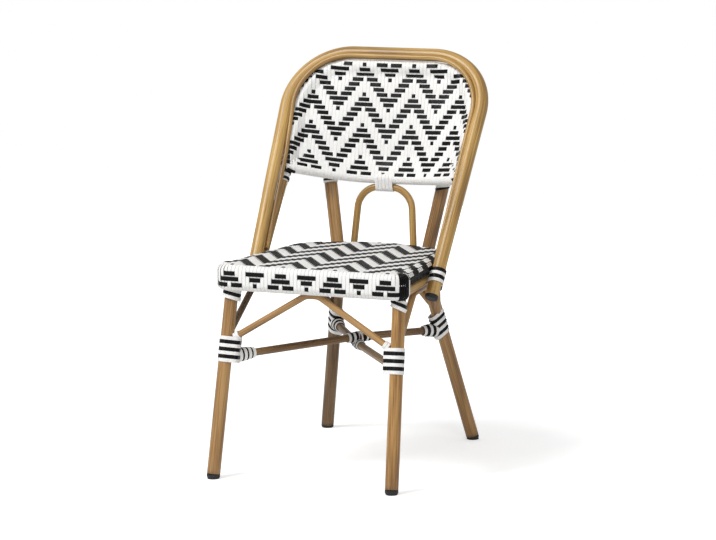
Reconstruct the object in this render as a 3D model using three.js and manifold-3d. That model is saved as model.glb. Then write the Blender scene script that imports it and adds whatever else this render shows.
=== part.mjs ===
// Bistro chair with a bent tube frame, a woven seat, a woven back and wound strand bindings.
// Millimetres, +Z up. The chair faces -Y. The origin lies on the floor, midway between the feet.
import * as THREE from 'three';
import { ConvexGeometry } from 'three/addons/geometries/ConvexGeometry.js';
import { mergeVertices } from 'three/addons/utils/BufferGeometryUtils.js';
import Module from 'manifold-3d';

const wasm = await Module();
wasm.setup();

// Clearances and resolution
const clearance = 0.3;
const overrun = 20;
const weldTolerance = 0.0001;
const tubeSideCount = 16;
const ringSideCount = 12;
const rodSideCount = 10;
const bendStepAngle = THREE.MathUtils.degToRad(15);

// Main tube of the legs and the hoop
const tubeDiameter = 28;
const tubeWall = 2;
const plugDepth = 22;

// Rear legs: one bent tube from the floor to the lower rail of the back
const rearFootHalfSpan = 175;
const rearFootReach = 284;
const kneeHalfSpan = 99;
const kneeReach = 171;
const kneeDrop = 6;
const kneeBendRadius = 120;
const uprightTopHalfSpan = 136;
const uprightTopReach = 203;
const uprightTopHeight = 598;

// Foot glides
const glideHeight = 10;
const glideSoleDiameter = 24;
const glideShoulderHeight = 4;

// Seat rings: two bent tubes, one above the other, under the weave
const ringDiameter = 20;
const upperRingHeight = 432;
const ringSpacing = 28;
const seatFrontReach = 233;
const seatFrontNarrowing = 9;
const seatFrontCornerRadius = 18;
const seatRearCornerRadius = 70;
const seatRearCrownRadius = 150;
const seatRearSweepAngle = THREE.MathUtils.degToRad(20.6);
const weaveThickness = 2;
const seatDeckThickness = 3;
const frontBandWrap = 25;

// Front legs: the place of the axis at the seat, and how far the foot stands out from there
const frontTopInset = 10.5;
const frontTopSetback = 24.5;
const frontFootSpread = 12.5;
const frontFootSplay = 75.5;

// Hoop of the back: a leaning plane that holds a bent tube
const hoopLeanAngle = THREE.MathUtils.degToRad(33.9);
const hoopEndDrop = 26;
const hoopEndReach = -69.5;
const hoopFlare = 25;
const hoopBarHeight = 851.5;
const hoopBarHalfWidth = 231;
const hoopCornerRadius = 132;
const capLength = 9;
const capRoundRadius = 3;

// Thin rod laid along the inside of the hoop, and how it turns about the tube of the hoop
const rodDiameter = 10;
const rodMiddleHeight = 640;
const rodMiddleSlack = 1.7;
const rodTopSlack = 2.3;
const rodLowAngle = THREE.MathUtils.degToRad(34);
const rodTopAngle = THREE.MathUtils.degToRad(-46);

// Frame tube of the back panel, behind the hoop
const panelTubeDiameter = 18;
const panelTubeEndRise = 14;
const panelCornerHeight = 606;
const panelTopInset = 28.5;
const panelCornerInset = 18.5;
const panelCornerSetback = 26.5;
const panelEndInset = 2;
const panelTopSetback = 3;
const panelEndSetback = 25.8;

// Lower rail of the back panel, bowed rearward between the uprights
const panelRailHeight = 584;
const panelRailEndHeight = 600;
const panelRailReach = 195;
const panelRailStationCount = 10;
const panelSheetThickness = 3;
const panelSheetColumnCount = 10;
const panelSleeveEndHeight = 576;
const panelSheetRowCount = 4;
const bootHeight = 564;
const bootHalfWidth = 15;
const collarHalfWidth = 19;

// Arch under the back panel
const archTubeDiameter = 15;
const archHalfSpan = 66;
const archShoulderHalfSpan = 62;
const archBendRadius = 50;

// Cross stretchers and braces
const stretcherDiameter = 16;
const stretcherDrop = 182;
const braceDiameter = 14;
const frontBraceFootRise = 51;
const frontBraceCrownHalfWidth = 14;
const frontBraceTuckAngle = THREE.MathUtils.degToRad(34);
const rearBraceFootRise = 48;
const sideBraceFootRise = 50;
const rearBraceShoulderHalfSpan = 58;
const sideBraceFrontSetback = 125;
const sideBraceRearShoulderReach = 84;
const braceBendRadius = 32;

// Strands of the bindings: a white and a black one are wound together
const strandWidth = 7.2;
const narrowStrandWidth = 6.2;
const strandThickness = 1.3;
const strandGap = 0.6;
const strandStepCount = 12;
const nearTurnShares = [0.25, 0.5, 0.5, 0.5, 0.75];
const frontBindingRise = 16;
const frontStripeCount = 7;
const rearBindingRise = 12;
const rearStripeCount = 5;
const hoopBindingDrop = 18;
const stubStripeCount = 5;
const shortStripeCount = 4;

// Finishes
const bambooFinish = { color: 0xb48a58, roughness: 0.45, metalness: 0 };
const whiteStrandFinish = { color: 0xf0efec, roughness: 0.4, metalness: 0 };
const blackStrandFinish = { color: 0x161616, roughness: 0.3, metalness: 0 };
const glideFinish = { color: 0x2b2b2d, roughness: 0.6, metalness: 0 };

// Worked out from the sizes above
const tubeRadius = tubeDiameter / 2;
const ringRadius = ringDiameter / 2;
const rodRadius = rodDiameter / 2;
const panelTubeRadius = panelTubeDiameter / 2;
const archTubeRadius = archTubeDiameter / 2;
const stretcherRadius = stretcherDiameter / 2;
const braceRadius = braceDiameter / 2;
const plugRadius = tubeRadius - tubeWall - clearance;
const sleeveThickness = weaveThickness + clearance;
const bandThickness = sleeveThickness + clearance;
const bindingBuild = strandThickness + 4 * clearance;
const lowerRingHeight = upperRingHeight - ringSpacing;
const hoopEndHeight = lowerRingHeight - hoopEndDrop;
const panelTubeEndHeight = hoopEndHeight + panelTubeEndRise;
const hoopBindingHeight = upperRingHeight - hoopBindingDrop;
const kneeHeight = lowerRingHeight - kneeDrop;
const hoopEndHalfWidth = hoopBarHalfWidth - hoopFlare;
const seatFrontHalfWidth = hoopEndHalfWidth - seatFrontNarrowing;
const frontTopHalfSpan = seatFrontHalfWidth - frontTopInset;
const frontTopReach = seatFrontReach - frontTopSetback;
const frontFootHalfSpan = frontTopHalfSpan + frontFootSpread;
const frontFootReach = frontTopReach + frontFootSplay;
const frontBandEndReach = frontBandWrap - seatFrontReach;
const sideBraceFrontShoulderReach = sideBraceFrontSetback - seatFrontReach;
const stretcherHeight = upperRingHeight - stretcherDrop;
const upperStretcherHeight = stretcherHeight + stretcherDiameter + clearance;
const frontBraceFootHeight = stretcherHeight + frontBraceFootRise;
const rearBraceFootHeight = stretcherHeight + rearBraceFootRise;
const sideBraceFootHeight = stretcherHeight + sideBraceFootRise;
const frontBindingHeight = stretcherHeight + frontBindingRise;
const rearBindingHeight = stretcherHeight + rearBindingRise;
const frontTopHeight = lowerRingHeight - ringRadius - bandThickness - clearance;
const braceCrownHeight = lowerRingHeight - ringRadius - clearance - braceRadius;
const archCrownHeight = panelRailHeight - panelTubeRadius - sleeveThickness - clearance - archTubeRadius;

const sideNames = [['left', -1], ['right', 1]];

// Solid helpers

function toSolid(geometry) {
  const bare = geometry.clone();
  bare.deleteAttribute('normal');
  bare.deleteAttribute('uv');
  const merged = mergeVertices(bare, weldTolerance);
  return new wasm.Manifold(new wasm.Mesh({
    numProp: 3,
    vertProperties: new Float32Array(merged.attributes.position.array),
    triVerts: new Uint32Array(merged.index.array),
  }));
}

function toGeometry(solid) {
  const mesh = solid.getMesh();
  const geometry = new THREE.BufferGeometry();
  geometry.setAttribute('position', new THREE.BufferAttribute(mesh.vertProperties.slice(), 3));
  geometry.setIndex(new THREE.BufferAttribute(mesh.triVerts.slice(), 1));
  geometry.computeVertexNormals();
  return geometry;
}

function vector(x, y, z) {
  return new THREE.Vector3(x, y, z);
}

function along(start, end, share) {
  return start.clone().lerp(end, share);
}

function atHeight(start, end, height) {
  return along(start, end, (height - start.z) / (end.z - start.z));
}

// The direction in which a route starts
function wayOf(stations) {
  return stations[1].clone().sub(stations[0]).normalize();
}

function mirrored(points) {
  return points.map((point) => vector(-point.x, point.y, point.z));
}

// A polyline whose inner corners are bent to the given radii
function bentStations(corners, radii) {
  const stations = [corners[0].clone()];
  for (let index = 1; index < corners.length - 1; index += 1) {
    const corner = corners[index];
    const back = corners[index - 1].clone().sub(corner).normalize();
    const forth = corners[index + 1].clone().sub(corner).normalize();
    const halfAngle = back.angleTo(forth) / 2;
    const radius = radii[index - 1];
    const centre = back.clone().add(forth).normalize()
      .multiplyScalar(radius / Math.sin(halfAngle)).add(corner);
    const arm = back.clone().multiplyScalar(radius / Math.tan(halfAngle)).add(corner).sub(centre);
    const axis = forth.clone().cross(back).normalize();
    const turn = Math.PI - 2 * halfAngle;
    const count = Math.max(2, Math.ceil(turn / bendStepAngle));
    for (let step = 0; step <= count; step += 1) {
      stations.push(arm.clone().applyAxisAngle(axis, turn * step / count).add(centre));
    }
  }
  stations.push(corners[corners.length - 1].clone());
  return stations;
}

// A path that an extrusion samples exactly at its stations
class StationPath extends THREE.Curve {
  constructor(stations) {
    super();
    this.stations = stations;
  }

  getPointAt(share) {
    return this.stations[Math.round(share * (this.stations.length - 1))].clone();
  }

  getPoint(share) {
    return this.getPointAt(share);
  }

  getTangentAt(share) {
    const last = this.stations.length - 1;
    const index = Math.round(share * last);
    const here = this.stations[index];
    const before = index > 0 ? here.clone().sub(this.stations[index - 1]).normalize() : vector(0, 0, 0);
    const after = index < last ? this.stations[index + 1].clone().sub(here).normalize() : vector(0, 0, 0);
    return before.add(after).normalize();
  }
}

function sweep(section, stations, sideCount) {
  return new THREE.ExtrudeGeometry(section, {
    steps: stations.length - 1,
    curveSegments: sideCount / 2,
    extrudePath: new StationPath(stations),
  });
}

function roundTube(stations, diameter, sideCount = tubeSideCount) {
  const section = new THREE.Shape();
  section.absarc(0, 0, diameter / 2, 0, 2 * Math.PI);
  return sweep(section, stations, sideCount);
}

function tubeSolid(stations, diameter, sideCount = tubeSideCount) {
  return toSolid(roundTube(stations, diameter, sideCount));
}

function extended(stations, startLength, endLength) {
  const last = stations.length - 1;
  const startWay = stations[0].clone().sub(stations[1]).normalize().multiplyScalar(startLength);
  const endWay = stations[last].clone().sub(stations[last - 1]).normalize().multiplyScalar(endLength);
  const longer = stations.map((point) => point.clone());
  longer[0].add(startWay);
  longer[last].add(endWay);
  return longer;
}

// Everything between two heights
function slab(low, high) {
  const reach = 2 * (rearFootReach + frontFootReach);
  const geometry = new THREE.BoxGeometry(reach, reach, high - low);
  geometry.translate(0, 0, (low + high) / 2);
  return toSolid(geometry);
}

function lathePiece(profile, origin, axis, sideCount = tubeSideCount) {
  const geometry = new THREE.LatheGeometry(profile.map(([x, y]) => new THREE.Vector2(x, y)), sideCount);
  geometry.applyQuaternion(new THREE.Quaternion().setFromUnitVectors(vector(0, 1, 0), axis));
  geometry.translate(origin.x, origin.y, origin.z);
  return toSolid(geometry);
}

// Scene graph helpers

function addMesh(group, name, geometry, finish) {
  const mesh = new THREE.Mesh(geometry, new THREE.MeshStandardMaterial(finish));
  mesh.name = name;
  group.add(mesh);
  return mesh;
}

// Leg axes

function frontLegAxis(side) {
  return [
    vector(side * frontFootHalfSpan, -frontFootReach, 0),
    vector(side * frontTopHalfSpan, -frontTopReach, frontTopHeight),
  ];
}

function rearLegStations(side) {
  return bentStations([
    vector(side * rearFootHalfSpan, rearFootReach, 0),
    vector(side * kneeHalfSpan, kneeReach, kneeHeight),
    vector(side * uprightTopHalfSpan, uprightTopReach, uprightTopHeight),
  ], [kneeBendRadius]);
}

function rearLegAxis(side) {
  return rearLegStations(side).slice(0, 2);
}

// Leaning plane of the hoop: x across, rise along the slope, setback square to it

const leanUp = vector(0, Math.sin(hoopLeanAngle), Math.cos(hoopLeanAngle));
const leanBack = vector(0, Math.cos(hoopLeanAngle), -Math.sin(hoopLeanAngle));
const hoopBarRise = (hoopBarHeight - hoopEndHeight) / Math.cos(hoopLeanAngle);

function onLean(x, rise, setback) {
  return vector(x, hoopEndReach, hoopEndHeight)
    .addScaledVector(leanUp, rise)
    .addScaledVector(leanBack, setback);
}

function riseAt(height, setback = 0) {
  return (height - hoopEndHeight + setback * Math.sin(hoopLeanAngle)) / Math.cos(hoopLeanAngle);
}

function hoopHalfWidthAt(rise) {
  return hoopEndHalfWidth + (hoopBarHalfWidth - hoopEndHalfWidth) * rise / hoopBarRise;
}

function besideHoop(height, inset, setback) {
  const rise = riseAt(height, setback);
  return onLean(hoopHalfWidthAt(rise) - inset, rise, setback);
}

// An inverted U: its right side from the bottom up, then the same mirrored
function invertedU(rightCorners, radii) {
  const corners = [...rightCorners, ...mirrored(rightCorners).reverse()];
  return bentStations(corners, [...radii, ...radii.slice().reverse()]);
}

const hoopStations = invertedU([
  onLean(hoopEndHalfWidth, 0, 0),
  onLean(hoopBarHalfWidth, hoopBarRise, 0),
], [hoopCornerRadius]);

// Seat outline, as the axis of the two rings

const seatSideReach = hoopEndReach + (lowerRingHeight - hoopEndHeight) * Math.tan(hoopLeanAngle);
const seatSideHalfWidth = hoopHalfWidthAt(riseAt(lowerRingHeight)) - tubeRadius - bindingBuild - ringRadius;
const seatTaper = (seatFrontHalfWidth - seatSideHalfWidth)
  / (seatSideReach + seatFrontReach - seatFrontCornerRadius);
const seatCrownReach = Math.min(...rearLegStations(1).filter((point) => (
  point.z > lowerRingHeight - tubeDiameter && point.z < upperRingHeight + tubeDiameter
)).map((point) => {
  const room = tubeRadius + sleeveThickness + ringRadius + clearance;
  return point.y - (room - point.x * Math.sin(seatRearSweepAngle)) / Math.cos(seatRearSweepAngle);
}));

function seatHalfWidthAt(reach) {
  return seatFrontHalfWidth - seatTaper * (reach + seatFrontReach - seatFrontCornerRadius);
}

function seatRingStations(height) {
  const rearHalfSpan = seatHalfWidthAt(seatCrownReach)
    / (1 - seatTaper * Math.tan(seatRearSweepAngle));
  const right = [
    vector(clearance / 2, -seatFrontReach, height),
    vector(seatHalfWidthAt(-seatFrontReach), -seatFrontReach, height),
    vector(rearHalfSpan, seatCrownReach - rearHalfSpan * Math.tan(seatRearSweepAngle), height),
  ];
  const corners = [...right, vector(0, seatCrownReach, height), ...mirrored(right).reverse()];
  return bentStations(corners, [
    seatFrontCornerRadius, seatRearCornerRadius, seatRearCrownRadius,
    seatRearCornerRadius, seatFrontCornerRadius,
  ]);
}

// Frame of bent tubes

const frame = new THREE.Group();

const mainBore = tubeDiameter - 2 * tubeWall;
const panelTubeBore = panelTubeDiameter - 2 * tubeWall;
const glideRoom = slab(-2 * overrun, glideHeight + clearance);

function bore(origin, axis, diameter) {
  const start = origin.clone().addScaledVector(axis, -overrun);
  const end = origin.clone().addScaledVector(axis, plugDepth + clearance);
  return tubeSolid([start, end], diameter);
}

function addFrontLeg(name, side) {
  const axis = frontLegAxis(side);
  const leg = tubeSolid(extended(axis, overrun, overrun), tubeDiameter)
    .subtract(glideRoom)
    .subtract(slab(frontTopHeight, frontTopHeight + 2 * overrun))
    .subtract(bore(atHeight(...axis, glideHeight), wayOf(axis), mainBore));
  addMesh(frame, `front_leg_${name}`, toGeometry(leg), bambooFinish);
}

function addRearLeg(name, side) {
  const stations = rearLegStations(side);
  const leg = tubeSolid(extended(stations, overrun, 0), tubeDiameter)
    .subtract(glideRoom)
    .subtract(bore(atHeight(stations[0], stations[1], glideHeight), wayOf(stations), mainBore));
  addMesh(frame, `rear_leg_${name}`, toGeometry(leg), bambooFinish);
}

// A plastic glide: a flat sole, a shoulder as wide as the tube and a plug in the bore
function addGlide(name, foot, next) {
  const way = next.clone().sub(foot).normalize();
  const profile = [
    [0, -glideShoulderHeight],
    [glideSoleDiameter / 2, -glideShoulderHeight],
    [glideSoleDiameter / 2, 0],
    [tubeRadius, glideShoulderHeight],
    [tubeRadius, glideHeight + glideShoulderHeight],
    [0, glideHeight + glideShoulderHeight],
  ];
  const plug = tubeSolid([
    foot.clone().addScaledVector(way, glideShoulderHeight),
    atHeight(foot, next, glideHeight).addScaledVector(way, plugDepth),
  ], 2 * plugRadius, rodSideCount);
  const glide = lathePiece(profile, foot, way)
    .intersect(slab(0, glideHeight))
    .add(plug);
  addMesh(frame, name, toGeometry(glide), glideFinish);
}

// An end cap: a rounded flange under the tube end and a plug in the bore
function addCap(name, end, way, diameter, boreDiameter) {
  const radius = diameter / 2;
  const lip = capRoundRadius * (1 - Math.SQRT1_2);
  const profile = [
    [0, -capLength],
    [radius - capRoundRadius, -capLength],
    [radius - lip, -capLength + lip],
    [radius, -capLength + capRoundRadius],
    [radius, -clearance],
    [boreDiameter / 2 - clearance, -clearance],
    [boreDiameter / 2 - clearance, plugDepth],
    [0, plugDepth],
  ];
  addMesh(frame, name, toGeometry(lathePiece(profile, end, way, ringSideCount)), glideFinish);
}

function endBore(stations, diameter) {
  return bore(stations[0], wayOf(stations), diameter);
}

// The hoop and the frame of the back panel: tubes with a cap in each open end
function addCappedU(name, capName, stations, diameter, boreDiameter) {
  const reversed = stations.slice().reverse();
  const tube = tubeSolid(stations, diameter)
    .subtract(endBore(stations, boreDiameter))
    .subtract(endBore(reversed, boreDiameter));
  addMesh(frame, name, toGeometry(tube), bambooFinish);
  addCap(`${capName}_right`, stations[0], wayOf(stations), diameter, boreDiameter);
  addCap(`${capName}_left`, reversed[0], wayOf(reversed), diameter, boreDiameter);
}

// The frame tube of the back panel follows the hoop, first behind it and at the top inside it
const panelFrameStations = invertedU([
  besideHoop(panelTubeEndHeight, panelEndInset, panelEndSetback),
  besideHoop(panelCornerHeight, panelCornerInset, panelCornerSetback),
  onLean(hoopBarHalfWidth - panelTopInset, hoopBarRise - panelTopInset, panelTopSetback),
], [hoopCornerRadius, hoopCornerRadius - panelTopInset]);

// The thin rod turns about the hoop: inside it beside the seat, in front of it at the top
const rodPitchRadius = tubeRadius + rodRadius + clearance;
const rodMiddleInset = rodPitchRadius + rodMiddleSlack;
const rodTopRadius = rodPitchRadius + rodTopSlack;
const rodTopInset = rodTopRadius * Math.cos(rodTopAngle);
const rodFootHeight = upperRingHeight + ringRadius + sleeveThickness + clearance
  + rodRadius * Math.sin(hoopLeanAngle);
const rodStations = invertedU([
  besideHoop(rodFootHeight, rodPitchRadius * Math.cos(rodLowAngle), rodPitchRadius * Math.sin(rodLowAngle)),
  besideHoop(rodMiddleHeight, rodMiddleInset, 0),
  onLean(hoopBarHalfWidth - rodTopInset, hoopBarRise - rodTopInset, rodTopRadius * Math.sin(rodTopAngle)),
], [hoopCornerRadius, hoopCornerRadius - rodTopInset]);

for (const [name, side] of sideNames) {
  addFrontLeg(name, side);
  addRearLeg(name, side);
  addGlide(`front_glide_${name}`, ...frontLegAxis(side));
  addGlide(`rear_glide_${name}`, ...rearLegAxis(side));
}
addCappedU('back_hoop', 'hoop_cap', hoopStations, tubeDiameter, mainBore);
addCappedU('back_panel_frame', 'panel_frame_cap', panelFrameStations, panelTubeDiameter, panelTubeBore);
addMesh(frame, 'hoop_inner_rod', roundTube(rodStations, rodDiameter, rodSideCount), bambooFinish);

// Rings of the seat: each is bent from one tube and closed at the front centre
const upperRingStations = seatRingStations(upperRingHeight);
const lowerRingStations = seatRingStations(lowerRingHeight);

function closedRing(stations, diameter) {
  const start = stations[0].clone().setX(-ringRadius);
  const end = stations[0].clone().setX(ringRadius);
  return tubeSolid(stations, diameter, ringSideCount).add(tubeSolid([start, end], diameter, ringSideCount));
}

addMesh(frame, 'seat_upper_ring', toGeometry(closedRing(upperRingStations, ringDiameter)), bambooFinish);
addMesh(frame, 'seat_lower_ring', toGeometry(closedRing(lowerRingStations, ringDiameter)), bambooFinish);

// Tubes that are coped against other tubes
function seatRearReachAt(x) {
  return seatCrownReach - x * Math.tan(seatRearSweepAngle);
}

const legRooms = [];
for (const [, side] of sideNames) {
  legRooms.push(tubeSolid(extended(frontLegAxis(side), 0, overrun), tubeDiameter + 2 * clearance));
  legRooms.push(tubeSolid(extended(rearLegStations(side), 0, clearance), tubeDiameter + 2 * clearance));
}
const allLegRoom = wasm.Manifold.union(legRooms);

function addCoped(name, stations, diameter, sideCount) {
  const tube = tubeSolid(stations, diameter, sideCount).subtract(allLegRoom);
  addMesh(frame, name, toGeometry(tube), bambooFinish);
}

function legPoint(axis, height) {
  return atHeight(axis[0], axis[1], height);
}

const lowerStretcherStations = [
  legPoint(frontLegAxis(-1), stretcherHeight),
  legPoint(rearLegAxis(1), stretcherHeight),
];
const upperStretcherStations = [
  legPoint(frontLegAxis(1), upperStretcherHeight),
  legPoint(rearLegAxis(-1), upperStretcherHeight),
];
addCoped('cross_stretcher_lower', lowerStretcherStations, stretcherDiameter, rodSideCount);
addCoped('cross_stretcher_upper', upperStretcherStations, stretcherDiameter, rodSideCount);

const frontBraceSeat = ringRadius + bandThickness + clearance + braceRadius;
addCoped('front_arch_brace', invertedU([
  legPoint(frontLegAxis(1), frontBraceFootHeight),
  vector(
    frontBraceCrownHalfWidth,
    -seatFrontReach + frontBraceSeat * Math.sin(frontBraceTuckAngle),
    lowerRingHeight - frontBraceSeat * Math.cos(frontBraceTuckAngle),
  ),
], [braceBendRadius]), braceDiameter, rodSideCount);

addCoped('rear_arch_brace', invertedU([
  legPoint(rearLegAxis(1), rearBraceFootHeight),
  vector(rearBraceShoulderHalfSpan, seatRearReachAt(rearBraceShoulderHalfSpan), braceCrownHeight),
], [braceBendRadius]), braceDiameter, rodSideCount);

function sideBraceShoulder(side, reach) {
  return vector(side * seatHalfWidthAt(reach), reach, braceCrownHeight);
}

for (const [name, side] of sideNames) {
  addCoped(`side_arch_brace_${name}`, bentStations([
    legPoint(frontLegAxis(side), sideBraceFootHeight),
    sideBraceShoulder(side, sideBraceFrontShoulderReach),
    sideBraceShoulder(side, sideBraceRearShoulderReach),
    legPoint(rearLegAxis(side), sideBraceFootHeight),
  ], [braceBendRadius, braceBendRadius]), braceDiameter, rodSideCount);
}

// Arch behind the seat: its feet stand behind both rings, its crown hangs under the back panel
const archFootReach = seatRearReachAt(archHalfSpan)
  + (ringRadius + sleeveThickness + clearance + archTubeRadius) / Math.cos(seatRearSweepAngle);
const archStations = invertedU([
  vector(archHalfSpan, archFootReach, lowerRingHeight - ringRadius),
  vector(archShoulderHalfSpan, panelRailReach, archCrownHeight),
], [archBendRadius]);
addMesh(frame, 'back_arch', roundTube(archStations, archTubeDiameter, rodSideCount), bambooFinish);

// Lower rail of the back panel, bowed rearward between the two sides of its frame
const panelSideStations = panelFrameStations.slice(0, panelFrameStations.length / 2);
const panelRailEnd = atHeight(panelSideStations[0], panelSideStations[1], panelRailEndHeight);

function bowed(end, centre, count) {
  const stations = [];
  for (let index = 0; index <= count; index += 1) {
    const share = 2 * index / count - 1;
    const point = along(centre, end, share * share);
    stations.push(point.setX(share * end.x));
  }
  return stations;
}

const panelRailCrown = vector(0, panelRailReach, panelRailHeight);
const panelRailStations = bowed(panelRailEnd, panelRailCrown, panelRailStationCount);
const panelFrameRoom = tubeSolid(panelFrameStations, panelTubeDiameter + 2 * clearance);
const panelRail = tubeSolid(panelRailStations, panelTubeDiameter, ringSideCount).subtract(panelFrameRoom);
addMesh(frame, 'back_panel_bottom_rail', toGeometry(panelRail), bambooFinish);

// Woven seat: a deck on the upper ring, a sleeve round it and a band over both rings at the front
const weave = new THREE.Group();
const ringSleeveDiameter = ringDiameter + 2 * sleeveThickness;
const seatTopHeight = upperRingHeight + ringSleeveDiameter / 2;

function flatOutline(stations) {
  const outline = new THREE.Shape();
  stations.forEach((point, index) => {
    if (index === 0) {
      outline.moveTo(point.x, point.y);
    } else {
      outline.lineTo(point.x, point.y);
    }
  });
  outline.closePath();
  return outline;
}

function seatDeck() {
  const geometry = new THREE.ExtrudeGeometry(flatOutline(upperRingStations), {
    depth: seatDeckThickness,
    bevelEnabled: false,
  });
  geometry.translate(0, 0, seatTopHeight - clearance - seatDeckThickness);
  return toSolid(geometry);
}

function bandSection(diameter) {
  const section = new THREE.Shape();
  const half = (upperRingHeight - lowerRingHeight) / 2;
  section.absarc(half, 0, diameter / 2, -Math.PI / 2, Math.PI / 2);
  section.absarc(-half, 0, diameter / 2, Math.PI / 2, 3 * Math.PI / 2);
  return section;
}

function bandStations(overlap) {
  const right = [
    vector(0, -seatFrontReach, (upperRingHeight + lowerRingHeight) / 2),
    vector(seatHalfWidthAt(-seatFrontReach), -seatFrontReach, (upperRingHeight + lowerRingHeight) / 2),
    vector(seatHalfWidthAt(frontBandEndReach + overlap), frontBandEndReach + overlap,
      (upperRingHeight + lowerRingHeight) / 2),
  ];
  const corners = [...mirrored(right.slice(1)).reverse(), ...right.slice(1)];
  return bentStations(corners, [seatFrontCornerRadius, seatFrontCornerRadius]);
}

function seatBand(diameter, overlap) {
  return toSolid(sweep(bandSection(diameter), bandStations(overlap), ringSideCount / 2));
}

const sideSleeveStart = frontBandEndReach - weaveThickness;
const sideSleeveStations = [
  vector(seatHalfWidthAt(sideSleeveStart), sideSleeveStart, upperRingHeight),
  ...upperRingStations.filter((point) => point.y > frontBandEndReach),
  vector(-seatHalfWidthAt(sideSleeveStart), sideSleeveStart, upperRingHeight),
];
const seatWeave = seatDeck()
  .add(tubeSolid(sideSleeveStations, ringSleeveDiameter, ringSideCount))
  .add(seatBand(ringDiameter + 2 * bandThickness, 0))
  .subtract(seatBand(ringDiameter + 2 * clearance, clearance))
  .subtract(tubeSolid(sideSleeveStations, ringDiameter + 4 * clearance, ringSideCount));
addMesh(weave, 'seat_weave', toGeometry(seatWeave), whiteStrandFinish);

// Woven back: a sheet ruled from the bowed rail to the straight top, sleeves round its frame,
// a boot round the top of each upright and a collar round the crown of the arch
const panelSleeveDiameter = panelTubeDiameter + 2 * sleeveThickness;
const panelTopCentre = panelSideStations[panelSideStations.length - 1].clone().setX(0);

function panelRow(end) {
  const share = (end.z - panelRailEnd.z) / (panelTopCentre.z - panelRailEnd.z);
  return bowed(end, along(panelRailCrown, panelTopCentre, share), panelSheetColumnCount);
}

function panelRows() {
  const ends = panelSideStations.filter((point) => point.z > panelRailEnd.z);
  const cornerStart = ends.findIndex((point) => point.z > panelCornerHeight + panelTubeDiameter);
  const straight = [];
  for (let index = 1; index < panelSheetRowCount; index += 1) {
    straight.push(along(ends[cornerStart - 1], ends[cornerStart], index / panelSheetRowCount));
  }
  const sideEnds = [...ends.slice(0, cornerStart), ...straight, ...ends.slice(cornerStart)];
  return [panelRailEnd, ...sideEnds].map(panelRow);
}

// Two triangles of a four-cornered face
function addQuad(faces, a, b, c, d) {
  faces.push(a, b, c, a, c, d);
}

function gridNormal(rows, row, column) {
  const across = rows[row][Math.min(column + 1, panelSheetColumnCount)].clone()
    .sub(rows[row][Math.max(column - 1, 0)]);
  const upward = rows[Math.min(row + 1, rows.length - 1)][column].clone()
    .sub(rows[Math.max(row - 1, 0)][column]);
  return across.cross(upward).normalize();
}

function sheetGeometry(rows, thickness) {
  const positions = [];
  const faces = [];
  for (const side of [1, -1]) {
    rows.forEach((points, row) => points.forEach((point, column) => {
      const shifted = point.clone().addScaledVector(gridNormal(rows, row, column), side * thickness / 2);
      positions.push(shifted.x, shifted.y, shifted.z);
    }));
  }
  const width = panelSheetColumnCount + 1;
  const backStart = rows.length * width;
  for (let row = 0; row < rows.length - 1; row += 1) {
    for (let column = 0; column < width - 1; column += 1) {
      const here = row * width + column;
      const above = here + width;
      addQuad(faces, here, here + 1, above + 1, above);
      addQuad(faces, backStart + here, backStart + above, backStart + above + 1, backStart + here + 1);
    }
  }
  const edge = [];
  for (let column = 0; column < width - 1; column += 1) {
    edge.push(column);
  }
  for (let row = 0; row < rows.length - 1; row += 1) {
    edge.push(row * width + width - 1);
  }
  for (let column = width - 1; column > 0; column -= 1) {
    edge.push((rows.length - 1) * width + column);
  }
  for (let row = rows.length - 1; row > 0; row -= 1) {
    edge.push(row * width);
  }
  edge.forEach((here, index) => {
    const next = edge[(index + 1) % edge.length];
    addQuad(faces, next, here, backStart + here, backStart + next);
  });
  const geometry = new THREE.BufferGeometry();
  geometry.setAttribute('position', new THREE.Float32BufferAttribute(positions, 3));
  geometry.setIndex(faces);
  return geometry;
}

function sleeveStations() {
  const right = [
    atHeight(panelSideStations[0], panelSideStations[1], panelSleeveEndHeight),
    ...panelSideStations.slice(1),
  ];
  return [...right, ...mirrored(right).reverse()];
}

function points(geometry) {
  const position = geometry.getAttribute('position');
  const found = [];
  for (let index = 0; index < position.count; index += 1) {
    found.push(new THREE.Vector3().fromBufferAttribute(position, index));
  }
  return found;
}

// The hull of a length of the wrapped rail and another wrapped tube
function hullWithRail(centreX, halfWidth, otherStations, otherDiameter) {
  const railEnds = [centreX - halfWidth, centreX + halfWidth].map((x) => (
    along(panelRailCrown, panelRailEnd, (x / panelRailEnd.x) ** 2).setX(x)
  ));
  const rail = roundTube(railEnds, panelSleeveDiameter, rodSideCount);
  const other = roundTube(otherStations, otherDiameter, rodSideCount);
  return toSolid(new ConvexGeometry([...points(rail), ...points(other)]));
}

function boot(side) {
  const [below, top] = rearLegStations(side).slice(-2);
  const upright = extended([atHeight(below, top, bootHeight), top], 0, sleeveThickness);
  return hullWithRail(top.x, bootHalfWidth, upright, tubeDiameter + 2 * sleeveThickness);
}

const collar = hullWithRail(0, collarHalfWidth, [
  vector(-collarHalfWidth, panelRailReach, archCrownHeight),
  vector(collarHalfWidth, panelRailReach, archCrownHeight),
], archTubeDiameter + 2 * sleeveThickness);

const panelRailRoom = tubeSolid(panelRailStations, panelTubeDiameter + 2 * clearance, ringSideCount);
const archRoom = tubeSolid(archStations, archTubeDiameter + 2 * clearance, rodSideCount);
const panelWeave = toSolid(sheetGeometry(panelRows(), panelSheetThickness))
  .add(tubeSolid(sleeveStations(), panelSleeveDiameter, ringSideCount))
  .add(tubeSolid(panelRailStations, panelSleeveDiameter, ringSideCount))
  .add(boot(-1))
  .add(boot(1))
  .add(collar)
  .subtract(panelFrameRoom)
  .subtract(panelRailRoom)
  .subtract(archRoom)
  .subtract(allLegRoom);
addMesh(weave, 'back_panel_weave', toGeometry(panelWeave), whiteStrandFinish);

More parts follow.
